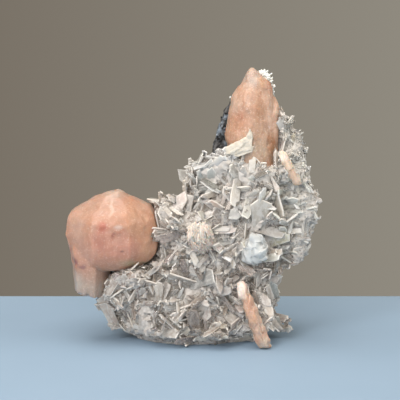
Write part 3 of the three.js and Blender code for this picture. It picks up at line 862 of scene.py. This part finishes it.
class BladeSet:
    """Blades gathered for one joined mesh."""

    def __init__(self, name):
        self.name = name
        self.points, self.faces, self.kinds, self.colours, self.grains = [], [], [], [], []
        self.count = 0

    def add(self, shape, turn, foot, size, colour, edge=0.0, bend=0.0, kind=MILKY):
        """Adds a blade: size is width, thickness and length, and turn its three axes as columns.

        The colour is its face's, and edge says how much its rim is painted whiter, as a highlight, from 0 to
        1.
        A blade that dips into the table is lifted clear of it, or left out if it would be lifted far.
        """
        co = shape.placed(size, bend)
        placed = co @ turn.T + foot
        sunk = max(0.0, -placed[:, 2].min())
        if sunk > SINK_LIMIT:
            return False
        placed[:, 2] += sunk
        self.points.append(placed)
        self.faces.extend([[i + self.count for i in face] for face in shape.faces])
        self.kinds.append(np.where(shape.on_rim & (kind == MILKY) & (edge > 0.5), EDGE, kind))
        rise = np.clip(co[:, 2] / size[2], 0, 1)
        across = 0.13 * np.sin(co[:, 0] / size[0] * 3 + self.count)
        # A blade is painted darker towards its root, as the shade deep in the crust, and lighter and darker
        # across it in a wave, as painted shading. It is never quite white.
        colours = np.clip(colour * (0.74 + 0.34 * rise + across)[:, None], 0, 0.93)
        rim = ~shape.inner if shape.rimmed else co[:, 2] > 0.7 * size[2]
        # The rim is painted whiter by edge: a painted highlight, where light comes out of the blade's edge.
        colours[rim] += (rgb(RIM_HIGHLIGHT_COLOUR) - colours[rim]) * edge
        self.colours.append(colours)
        self.grains.append(co * np.array([1.3, 1, 0.45]) / MM + self.count * 0.37)
        self.count += len(co)
        return True

    def build(self, materials):
        mesh = bpy.data.meshes.new(self.name)
        mesh.from_pydata(np.vstack(self.points).tolist(), [], self.faces)
        mesh.polygons.foreach_set("material_index", np.concatenate(self.kinds).astype(np.int32))
        store_colour(mesh, np.vstack(self.colours))
        grain = mesh.attributes.new("grain", "FLOAT_VECTOR", "POINT")
        grain.data.foreach_set("vector", np.vstack(self.grains).astype(np.float32).ravel())
        for material in materials:
            mesh.materials.append(material)
        mesh.update()
        piece = bpy.data.objects.new(self.name, mesh)
        bpy.context.scene.collection.objects.link(piece)
        mesh.calc_loop_triangles()
        print(self.name, len(mesh.loop_triangles), "triangles")
        return piece


def spread(mesh, spacing, random):
    """Points over a mesh, no two nearer than the spacing, with the surface's normal at each."""
    mesh.calc_loop_triangles()
    corners = np.empty(len(mesh.loop_triangles) * 3, np.int32)
    mesh.loop_triangles.foreach_get("vertices", corners)
    corners = corners.reshape(-1, 3)
    co, normals = places_of(mesh), normals_of(mesh)
    a, b, c = (co[corners[:, k]] for k in range(3))
    area = np.linalg.norm(np.cross(b - a, c - a), axis=1) / 2
    tries = int(area.sum() / spacing ** 2 * 5)
    chosen = random.choice(len(area), tries, p=area / area.sum())
    u, v = random.random((2, tries))
    flip = u + v > 1
    u, v = np.where(flip, 1 - u, u), np.where(flip, 1 - v, v)
    w = 1 - u - v
    spots = a[chosen] * w[:, None] + b[chosen] * u[:, None] + c[chosen] * v[:, None]
    up = sum(normals[corners[chosen, k]] * share[:, None] for k, share in enumerate((w, u, v)))
    up /= np.linalg.norm(up, axis=1)[:, None]
    taken, kept = {}, []
    for i, spot in enumerate(spots):
        cell = tuple(np.floor(spot / spacing).astype(int))
        near = (taken.get((cell[0] + x, cell[1] + y, cell[2] + z), ())
                for x in (-1, 0, 1) for y in (-1, 0, 1) for z in (-1, 0, 1))
        if any(np.linalg.norm(spots[j] - spot) < spacing for group in near for j in group):
            continue
        taken.setdefault(cell, []).append(i)
        kept.append(i)
    return spots[kept], up[kept]


def unit(vector):
    return vector / np.linalg.norm(vector)


def axes(facing, along):
    """A blade's three axes as columns: across it, out of its face, and along it."""
    return np.column_stack([np.cross(facing, along), facing, along])


def turned(vector, axis, angle):
    """The vector turned about an axis by an angle in radians."""
    return (vector * math.cos(angle) + np.cross(axis, vector) * math.sin(angle)
            + axis * np.dot(axis, vector) * (1 - math.cos(angle)))


def side_of(tree, point, away):
    """Which side of a closed surface a point is on, from -1, inside, to 1, outside.

    All the faces that share the nearest spot are asked, so that each run gives the same answer.
    """
    point = Vector(point)
    nearest = tree.find_nearest_range(point, away + 0.001 * MM)
    total = sum((point - spot).dot(normal) for spot, normal, _, _ in nearest)
    return total / (len(nearest) * max(away, 1e-9))


class KeepOut:
    """The space inside the large crystals, which blades stay out of."""

    REACH = 12 * MM

    def __init__(self, bodies):
        places, faces = [], []
        for body in bodies:
            start = len(places)
            places.extend(v.co for v in body.data.vertices)
            faces.extend([start + i for i in p.vertices] for p in body.data.polygons)
        self.tree = BVHTree.FromPolygons(places, faces)

    def holds(self, point, depth):
        """Says whether the point is deeper in a crystal than this. A depth below 0 is a margin outside."""
        near, _, _, away = self.tree.find_nearest(Vector(point), self.REACH)
        if near is None:
            return False
        inside = side_of(self.tree, point, away) < 0
        return inside and away > depth if depth > 0 else inside or away < -depth


# Where the blades' colour drifts: (x, z) on the front and the reach in mm, the colour and its strength.
# The pale zones down the right edge and along the ridge by the spire are painted light, and the dark grey
# one at x 11, z 44 is painted shade in a hollow. The others are the blades' own colours.
BLADE_ZONES = [
    ((9, 73), (8, 6), "#fbfaf6", 1.0), ((8, 72), (13, 8), "#f2f2ec", 0.9),
    ((38, 62), (8, 30), "#f6f0e4", 0.9), ((34, 80), (10, 9), "#e8dfd1", 0.9),
    ((2, 63), (6, 7), "#b9c0bd", 0.8), ((-11, 20), (6, 6), "#b3bdc0", 0.8),
    ((11, 44), (5, 6), "#9fa4a2", 0.7), ((24, 57), (12, 11), "#f4ece2", 0.8),
    ((-22, 20), (12, 12), "#cdb9ae", 0.7), ((-14, 43), (10, 10), "#baaea6", 0.7),
    ((-4, 51), (10, 7), "#c4bbb2", 0.6), ((8, 12), (14, 8), "#cfbdb2", 0.6),
    ((34, 40), (9, 10), "#cfccbd", 0.7), ((0, 30), (12, 8), "#bfb3a9", 0.6),
    ((20, 63), (7, 6), "#cfc9c4", 0.3), ((2, 16), (38, 22), "#cdc1b6", 0.65),
    ((-34, 20), (8, 10), "#c8b9ae", 0.6),
]
# Along the right edge, from here on and over this many mm, the blades are short and lie flat.
RIGHT_EDGE, RIGHT_EDGE_WIDTH = 33, 6


def blade_colour(spot, random):
    """A blade's colour for its place, in linear light, with a change of its own."""
    place = np.array([spot[0], spot[2]]) / MM
    colour = rgb("#ded2c6")
    for middle, reach, code, strength in BLADE_ZONES:
        distance = np.linalg.norm((place - np.array(middle)) / np.array(reach))
        colour += (rgb(code) - colour) * strength * max(0.0, min(1.0, 1.5 - 1.5 * distance))
    colour = colour * random.uniform(0.94, 1.06) * (1 + random.normal(size=3) * 0.02)
    return np.clip(colour, 0, 0.8)


def held_near(tree, point, allowed):
    """The point, brought back to where it stands off the surface by no more than is allowed."""
    near, _, _, away = tree.find_nearest(Vector(point))
    well_inside = -0.75
    if away > allowed and side_of(tree, point, away) > well_inside:
        return np.array(near) + (point - np.array(near)) * allowed / away
    return point


def grow_books(blades, shapes, sites, bed, random, keep_out, clear_view, length, breadth, thick, leaves,
               lean, roll, root, rise, tones, white=0.28, clear=0.2):
    """Grows a small book of nearly parallel blades at each site.

    Lengths are in mm, breadth is the width's share of the length, and the angles are in degrees. Leaves
    is how many blades a book has, up to but not with the second number. Lean is from the surface's
    normal, and roll turns the blades' faces away from the outside. Root is how deep a foot is in the
    bed, rise is how far a head stands off it, and tones is the range of the books' brightness. White
    and clear are the shares of white-edged and of glassy blades.
    """
    for spot, normal in zip(*sites):
        sideways = unit(np.cross(normal, random.normal(size=3)))
        flat_edge = max(0.0, min(1.0, (spot[0] / MM - RIGHT_EDGE) / RIGHT_EDGE_WIDTH))
        tilt = math.radians(random.uniform(*lean))
        tilt += (math.radians(85) - tilt) * 0.7 * flat_edge
        heading = unit(normal * math.cos(tilt) + sideways * math.sin(tilt))
        # Near the table no blade heads down.
        if spot[2] < 9 * MM and heading[2] < 0:
            heading = heading * np.array([1, 1, -1])
        outward = unit(normal - heading * np.dot(normal, heading))
        in_sight = min(1.0, abs(normal[1]) / 0.6)
        facing = turned(outward, heading, math.radians(
            random.uniform(*roll) * random.choice([-1, 1]) * (0.4 + 0.6 * in_sight) * (1 - 0.6 * flat_edge)))
        book_length = random.uniform(*length) * (1 - 0.4 * flat_edge) * (0.7 + 0.3 * in_sight) * MM
        tone = random.uniform(*tones)
        book_width = book_length * random.uniform(*breadth) * (1 - 0.25 * flat_edge)
        shape = shapes[random.integers(len(shapes))]
        count = random.integers(*leaves)
        # A book opens like pages, by up to 5 degrees a blade, and a fan in its own plane, by up to 12.
        opening = math.radians(random.uniform(0, 5)) * random.choice([-1, 1])
        spreading = math.radians(random.uniform(4, 12)) * random.choice([0, 0, 1])
        pace = random.uniform(*thick) * 1.05 * MM
        for k in range(count):
            step = k - (count - 1) / 2
            axis = unit(np.cross(facing, heading))
            along = turned(heading, axis, opening * step + random.normal() * 0.03)
            face = turned(facing, axis, opening * step)
            face = unit(turned(face, along, random.normal() * 0.06))
            along = unit(turned(along, face, spreading * step + random.normal() * 0.08))
            face = unit(face - along * np.dot(face, along))
            long = book_length * random.uniform(0.65, 1.05)
            size = np.array([min(book_width * random.uniform(0.7, 1.2), long),
                             random.uniform(*thick) * MM, long])
            foot = (spot + face * step * pace + along * random.uniform(-0.6, 0.3) * MM
                    - normal * root * MM)
            tip = foot + along * long
            # Where the bed is seen edge-on the heads stay low, so that the outline is smooth.
            allowed = random.uniform(*rise) * (0.4 + 0.6 * in_sight) * (1 - 0.55 * flat_edge) * MM
            reach = held_near(bed, tip, allowed) - foot
            size[2] = long = min(long, np.linalg.norm(reach))
            along = unit(reach)
            face = unit(face - along * np.dot(face, along))
            tip = foot + along * long
            colour = blade_colour(spot, random) * tone
            edge = random.uniform(0.48, 0.82) if random.random() < white else random.uniform(0.1, 0.35)
            kind = CLEAR if random.random() < clear * (1 - 0.8 * flat_edge) else MILKY
            bend = random.normal() * 0.006
            # The crust's lower left edge slopes straight down from the leg's foot.
            if tip[0] < -min(41.5 * MM, 32.4 * MM + 0.46 * tip[2]):
                continue
            if keep_out.holds(tip, -0.2 * MM) or keep_out.holds((tip + foot) / 2, 0.7 * MM):
                continue
            if clear_view.blocked_by(tip) or clear_view.blocked_by((tip + foot) / 2):
                continue
            blades.add(shape, axes(face, along), foot, size, colour, edge, bend, kind)


# ---- The crust ----

# Where the bed swells beyond the crust's solid, each lump's middle and reach in mm: round the spire's
# foot, along the right ridge, under the leg, and behind the foot crystal.
BED_LUMPS = [
    ((12, -9, 72), (7, 6, 5.5)), ((6, -4, 68), (9, 7, 6)), ((32, -1, 83), (3.6, 5, 7)),
    ((31.4, -1, 87), (3.6, 4.5, 7.5)), ((33.6, -3, 86), (4.4, 5, 7.5)), ((35, -1, 77), (4.4, 6, 8)),
    ((39, -2, 70), (5, 6, 7)), ((22.5, -12, 67.5), (9, 5.5, 5.5)), ((-12, -4, 53), (6, 7, 6)),
    ((-35, -5, 19), (5.5, 7, 5)), ((-32.5, -8, 24), (5.5, 6, 5)), ((-25, -10, 27.2), (10, 8, 5)),
    ((24.5, -9, 12), (5, 5.8, 12)), ((33, -8, 68), (6, 6, 7)), ((42.6, -4, 54), (6, 8, 10)),
    ((40.6, -4, 39), (5.2, 7, 8)), ((40, -3, 66), (6.5, 6, 8)),
]
# How far the bed is drawn in under the crust's surface, to leave room for the blades.
BED_DEPTH = 1.4


def crust_bed():
    """The bed that the blades stand on: the crust's solid, drawn in under the blades and roughened."""
    bed = copy_of_node("blade_crust", "crust_bed")
    for place, reach in BED_LUMPS:
        bpy.ops.object.select_all(action="DESELECT")
        bpy.ops.mesh.primitive_ico_sphere_add(subdivisions=3, radius=1, location=Vector(place) * MM)
        lump = bpy.context.active_object
        lump.scale = Vector(reach) * MM
        bpy.ops.object.transform_apply(location=True, scale=True)
        bed.select_set(True)
        bpy.context.view_layer.objects.active = bed
        bpy.ops.object.join()
    apply_modifier(bed, "REMESH", mode="VOXEL", voxel_size=1.0 * MM)
    apply_modifier(bed, "SMOOTH", factor=0.8, iterations=24)
    before = places_of(bed.data)
    co = before - normals_of(bed.data) * BED_DEPTH * MM
    set_places(bed.data, co)
    # Swells of 7 mm and of about 3 mm, and then angular steps.
    lumps = noise_at(co, 7 * MM) * 1.5 + noise_at(co, 3.2 * MM, 9) * 0.7
    steps = facets(co, 1500, 1.0, 0.35 * MM, 0.22, np.random.default_rng(3))
    co += normals_of(bed.data) * (lumps * MM + steps)[:, None]
    co[:, 2] = np.where(before[:, 2] < 1.2 * MM, 0, np.maximum(co[:, 2], 0))
    # It draws in a little just above the table, so that the blades there hang over a dark gap.
    low = np.clip(4 * MM - co[:, 2], 0, None)
    co[:, 0] *= 1 - 15 * low
    co[:, 1] += 0.5 * low * np.clip(-co[:, 1] / (8 * MM), 0, 1)
    set_places(bed.data, co)
    # The bed is grey, paler round the spire's foot and towards the right. Its three dark patches, left of
    # the blue knot, behind the foot crystal and below the shoulder crystal, are painted shade in hollows.
    paint(bed, "#aaa39c", [
        ((11, -14, 44), (5, 8, 7), "#5d5b57", 0.8), ((20.5, -15, 8), (3, 6, 7), "#4d4238", 0.9),
        ((-11, -16, 20), (6, 8, 6), "#7f8a8d", 0.7), ((2, -10, 63), (6, 8, 8), "#87908f", 0.7),
        ((28, -12, 57), (4, 6, 4), "#6c635a", 0.7), ((10, -6, 70), (16, 14, 10), "#cfc9c1", 0.8),
        ((26, -8, 64), (12, 12, 9), "#c6c0b8", 0.7), ((38, -5, 60), (8, 12, 30), "#c4c2b7", 0.7)],
        wander=2.5)
    return finish_body(bed, druse(), "apophyllite", "blade_crust")


# The large blades that stand out on the front: the ends (x, z) of each in mm, its foot first, its width,
# how far its head stands off the bed, its roll in degrees, its colour, its edge's whiteness, and which
# outline it has.
FRONT_BLADES = [
    ((7.8, 68.4), (14.1, 61.6), 1.3, 2.0, 10, "#ebe7e1", 0.9, 0),
    ((16.9, 65.0), (12.7, 71.8), 4.0, 2.2, 25, "#c9c4bc", 0.7, 5),
    ((14.3, 55.8), (25.7, 60.0), 2.0, 2.6, 10, "#ded3c5", 0.5, 3),
    ((23.2, 46.4), (24.9, 59.0), 8.4, 3.4, 5, "#dcd2c5", 0.8, 6),
    ((22.7, 48.0), (33.4, 45.0), 4.0, 3.0, -15, "#d9cfc6", 0.7, 4),
    ((2.5, 52.0), (5.6, 47.7), 0.9, 1.8, 10, "#efebe6", 0.8, 0),
    ((-2.0, 52.0), (0.4, 50.2), 0.9, 1.6, 10, "#d9d3cc", 0.6, 0),
    ((-6.2, 52.0), (-7.1, 54.7), 0.9, 1.6, 10, "#d9d3cc", 0.6, 1),
    ((12.1, 38.1), (14.9, 46.6), 1.1, 2.6, 20, "#e6e3e0", 0.8, 2),
    ((8.3, 32.2), (6.0, 38.1), 1.4, 2.2, 20, "#d8d2cb", 0.7, 0),
    ((-4.0, 24.0), (6.8, 30.7), 7.5, 3.0, -12, "#b6b3ae", 0.8, 6),
    ((6.8, 23.6), (3.3, 32.2), 5.5, 2.4, 15, "#b9b3ac", 0.5, 7),
    ((-2.4, 30.3), (2.0, 28.9), 1.1, 2.6, 10, "#efece6", 0.9, 1),
    ((-8.6, 15.7), (-5.1, 24.8), 1.3, 2.8, 15, "#e6e3dd", 0.9, 0),
    ((-32.3, 27.9), (-22.7, 29.5), 3.6, 2.4, -10, "#c6b2a6", 0.7, 5),
    ((-32.6, 21.2), (-35.5, 23.6), 1.2, 2.0, 10, "#f1ede6", 0.9, 0),
    ((-35.5, 23.6), (-33.0, 25.4), 1.2, 2.2, 10, "#f1ede6", 0.9, 2),
    ((-31.6, 9.8), (-37.0, 21.0), 3.8, 2.0, 6, "#ecd4c5", 0.2, 3),
    ((-34.4, 12.6), (-38.8, 20.8), 2.4, 1.4, -8, "#ecd8ca", 0.2, 0),
    ((-30.4, 9.0), (-34.4, 18.6), 2.4, 2.4, 14, "#e4d3c7", 0.3, 1),
    ((-35.6, 12.6), (-32.1, 14.5), 1.6, 1.8, 10, "#ece7df", 0.9, 2),
    ((-20.5, 20.1), (-20.9, 24.4), 3.2, 2.0, 10, "#d9cec5", 0.6, 4),
    ((-28.9, 25.2), (-24.6, 18.9), 1.8, 2.2, 10, "#dcd3ca", 0.7, 0),
    ((-29.0, 16.1), (-22.1, 18.1), 3.0, 2.2, -15, "#cbbdb3", 0.6, 2),
    ((-20.3, 5.0), (-19.8, 19.7), 5.4, 2.8, 10, "#c8b5ab", 0.5, 5),
    ((-17.9, 15.3), (-14.2, 9.8), 1.0, 2.0, 10, "#dfd9d2", 0.8, 0),
    ((-17.9, 6.2), (-6.3, 6.6), 4.4, 3.0, -20, "#c9bfb5", 0.9, 6),
    ((-5.2, 11.8), (-1.3, 16.1), 1.1, 2.0, 10, "#e4ded7", 0.8, 1),
    ((2.5, 65.8), (1.8, 71.1), 4.2, 1.8, 10, "#d3d8d3", 0.7, 4),
    ((5.6, 66.1), (5.9, 71.1), 3.6, 1.8, -10, "#d8dbd5", 0.7, 7),
    ((25.6, 43.1), (35.7, 44.7), 7.0, 2.2, 10, "#c8c3ac", 0.6, 5),
    ((-7.3, 53.5), (-7.7, 60.0), 4.2, 2.0, 15, "#cbc8c0", 0.6, 4),
    ((-2.8, 53.5), (-3.5, 61.2), 5.0, 2.2, -10, "#c5bfb8", 0.6, 6),
    ((-11.2, 50.1), (-13.8, 56.2), 4.4, 2.0, 15, "#cdc7c0", 0.6, 7),
    ((16.6, 56.6), (12.8, 62.3), 2.6, 2.4, 20, "#c3b9b2", 0.5, 3),
    ((32.2, 54.7), (39.3, 57.4), 1.6, 2.0, 10, "#d6d2c6", 0.7, 0),
    ((9.8, 50.1), (6.7, 55.8), 4.4, 2.2, 15, "#c8bdb4", 0.6, 5),
    ((3.3, 17.3), (3.7, 11.0), 4.6, 2.4, 15, "#c9b9b0", 0.6, 7),
    ((-14.0, 19.7), (-10.9, 26.7), 4.0, 2.4, -15, "#c3bab3", 0.7, 4),
    ((8.3, 17.7), (3.7, 20.8), 1.2, 2.2, 10, "#d8d2ca", 0.7, 0),
    ((29.1, 19.7), (28.3, 25.6), 2.6, 2.2, 20, "#cdc3ba", 0.6, 3),
    ((36.7, 26.7), (39.7, 32.2), 3.4, 1.8, 10, "#d7d6cd", 0.6, 4),
    ((34.1, 19.7), (33.2, 27.5), 5.0, 2.2, 15, "#cfcdc2", 0.6, 7),
    ((9.9, 3.8), (3.7, 6.6), 3.6, 2.4, -10, "#cdbeb4", 0.6, 5),
    ((5.0, 70.0), (11.2, 77.0), 3.2, 4.2, 10, "#fbfaf4", 0.9, 0),
    ((8.6, 69.6), (14.2, 76.0), 3.0, 4.8, -12, "#fbfaf4", 0.9, 1),
    ((1.6, 68.6), (6.8, 73.8), 2.8, 3.6, 14, "#f6f6f0", 0.9, 2),
    ((10.4, 73.0), (14.6, 77.4), 2.0, 4.4, 6, "#fbfaf4", 0.9, 0),
    ((4.6, 70.2), (9.4, 75.6), 3.0, 1.8, 15, "#e2e2da", 0.8, 6),
    ((14.6, 69.4), (17.8, 74.6), 1.6, 2.4, 20, "#ece6dc", 0.8, 0),
    ((22.0, 66.4), (23.2, 74.0), 1.4, 2.4, 10, "#ece8e2", 0.8, 1),
    ((26.8, 65.4), (28.6, 72.0), 2.4, 2.0, 20, "#d6ccc0", 0.6, 4),
    ((19.0, 66.6), (17.4, 71.6), 2.8, 2.0, -20, "#d3cdc6", 0.6, 5),
    ((33.9, 5.4), (37.7, 12.2), 2.6, 1.8, 10, "#d8d8d0", 0.7, 0),
    ((34.7, 3.8), (38.9, 6.2), 2.0, 1.6, 10, "#d5d6cf", 0.7, 2),
]
FRONT_BLADE_THICKNESS = 0.6
FOOT_SUNK = 0.6
AIM_TRIES = 12


class ClearView:
    """Keeps blades from standing right in front of the large front blades."""

    def __init__(self):
        self.spots = []
        self.tree = None

    def add(self, foot, tip, width):
        """Notes a blade as seven spots along it, each with the reach that it keeps clear."""
        reach = width * 0.42 + 0.2 * MM
        for share in np.linspace(0.1, 1, 7):
            self.spots.append((foot + (tip - foot) * share, reach))

    def ready(self):
        """Makes the noted spots ready to be asked about."""
        self.tree = KDTree(len(self.spots))
        for i, (spot, _) in enumerate(self.spots):
            self.tree.insert((spot[0], 0, spot[2]), i)
        self.tree.balance()

    def blocked_by(self, point):
        _, i, distance = self.tree.find((point[0], 0, point[2]))
        spot, reach = self.spots[i]
        return distance < reach and point[1] < spot[1]


def front_blades(tree, shapes):
    """Sets the large front blades on the bed, each where it is seen from the front.

    An end that would miss the bed is aimed a little further inwards, up to so many tries.
    """
    blades = BladeSet("crust_front_blades")
    clear = ClearView()
    for k, (foot, tip, width, lift, roll, code, edge, outline) in enumerate(FRONT_BLADES):
        ends, past_edge = [], 0
        for (x, z), off in ((foot, -FOOT_SUNK), (tip, lift * 0.8)):
            for inwards in range(AIM_TRIES):
                up = inwards if z < 8 else -0.5 * inwards if z > 64 else 0
                aim = Vector((x * (1 - 0.02 * inwards * (z < 64)), -17, z + up)) * MM
                sight = (aim - CAMERA_PLACE).normalized()
                hit = tree.ray_cast(CAMERA_PLACE, sight)[0]
                if hit is not None:
                    ends.append(np.array(hit - sight * off * MM))
                    past_edge = inwards
                    break
        if len(ends) < 2:
            continue
        ends[1] = held_near(tree, ends[1], (lift + 0.3) * MM)
        # The head never stands far behind the foot, where the bed falls away.
        farthest_back = ends[0][1] + 2.5 * MM
        ends[1][1] = min(ends[1][1], farthest_back)
        along = ends[1] - ends[0]
        long = np.linalg.norm(along)
        along = along / long
        if past_edge:
            long = max(long, 0.9 * math.dist(foot, tip) * MM)
        facing = unit(np.array([0, -1, 0.15]) - along * np.dot(along, (0, -1, 0.15)))
        facing = turned(facing, along, math.radians(roll))
        turn = axes(facing, along)
        size = np.array([width, FRONT_BLADE_THICKNESS, long / MM]) * MM
        if blades.add(shapes[outline], turn, ends[0], size, rgb(code), edge, bend=0.02 * (-1) ** k):
            clear.add(ends[0], ends[1], width * MM)
    return blades, clear


def crust(bodies, laths, plates):
    """The bed and its blades: the large ones first, then four sizes that fill in between them."""
    bed = crust_bed()
    random = np.random.default_rng(5)
    splinters = [BladeShape(outline, rimmed=False) for outline in LATH_OUTLINES + PLATE_OUTLINES[:2]]
    keep_out = KeepOut(bodies)
    materials = [apophyllite_milky(), apophyllite_clear(), apophyllite_edge()]
    bed_tree = BVHTree.FromPolygons([v.co for v in bed.data.vertices],
                                    [list(p.vertices) for p in bed.data.polygons])

    def grow(name, shapes, spacing, **ways):
        blades = BladeSet(name)
        grow_books(blades, shapes, spread(bed.data, spacing * MM, random), bed_tree, random, keep_out,
                   clear_view, **ways)
        keep(blades.build(materials), "apophyllite", "blade_crust")

    front, clear_view = front_blades(bed_tree, laths + plates)
    clear_view.ready()
    keep(front.build(materials), "apophyllite", "blade_crust")
    large = {"thick": (0.5, 0.8), "leaves": (1, 3), "root": 0.2, "rise": (2.2, 3.8),
             "tones": (0.92, 1.06), "white": 0.6}
    grow("crust_plates", plates, 3.1, length=(8, 13), breadth=(0.24, 0.42), lean=(58, 82), roll=(4, 40),
         **large)
    grow("crust_laths", laths, 3.1, length=(7, 12), breadth=(0.15, 0.28), lean=(54, 82), roll=(5, 60),
         **large)
    grow("crust_small_blades", splinters, 2.1, length=(2.6, 5), breadth=(0.25, 0.5), thick=(0.4, 0.7),
         leaves=(1, 3), lean=(50, 84), roll=(10, 60), root=0.3, rise=(0.6, 1.6), tones=(0.86, 1.02))
    grow("crust_druse", splinters[:4], 1.4, length=(1.2, 2.6), breadth=(0.35, 0.7), thick=(0.4, 0.7),
         leaves=(1, 2), lean=(30, 80), roll=(0, 180), root=0.2, rise=(0.3, 0.9), tones=(0.72, 0.9))


def tip_tuft(shapes, material):
    """White bladelets in a tuft by the spire's tip and down its right edge."""
    random = np.random.default_rng(5)
    tuft = BladeSet("white_tuft_blades")
    # Each clump: its middle, how many bladelets it has, and its reach in mm.
    clumps = [((25.2, -1.8, 105.2), 120, 1.3), ((26.8, -1.8, 104.4), 150, 1.5),
              ((27.9, -1.6, 102.6), 60, 1.1), ((29.2, -1.8, 100.6), 20, 0.7),
              ((29.6, -1.6, 98.4), 7, 0.6), ((13.6, -1.0, 96.4), 3, 0.4)]
    for middle, count, reach in clumps:
        for _ in range(count):
            along = unit(random.normal(size=3) + np.array([0.5, -0.5, 1.1]))
            facing = unit(np.cross(along, random.normal(size=3)))
            turn = axes(facing, along)
            foot = (np.array(middle) + random.normal(size=3) * reach * 0.45) * MM
            size = np.array([random.uniform(0.5, 1.2), 0.35, random.uniform(0.7, 1.6)]) * MM
            tuft.add(shapes[random.integers(len(shapes))], turn, foot, size, rgb("#f4f4ec"), 0.8)
    return keep(tuft.build([material] * 3), "white_crystal", "tip_tuft")


set_up_stage()
laths = [BladeShape(outline) for outline in LATH_OUTLINES]
plates = [BladeShape(outline) for outline in PLATE_OUTLINES]
left = left_ball()
tall = spire(stilbite("Stilbite, spire", "#efcdb2", 0.18, mottled=(0.8, 1.14), sugar=0.4))
large_crystals = [left, tall, foot_lath(tall.data.materials[0]), shoulder_lath(),
                  centre_sheaf(laths), blue_knot(plates), white_tablet()]
rock = basalt_matrix()
# The centre sheaf is open between its laths, so it doesn't keep other blades out.
crust([body for body in large_crystals if "laths" not in body.name] + [rock], laths, plates)
tip_tuft(laths[:2], white_crystal("White crystal, snowy", "#eeeee4", "#fbfbf6"))
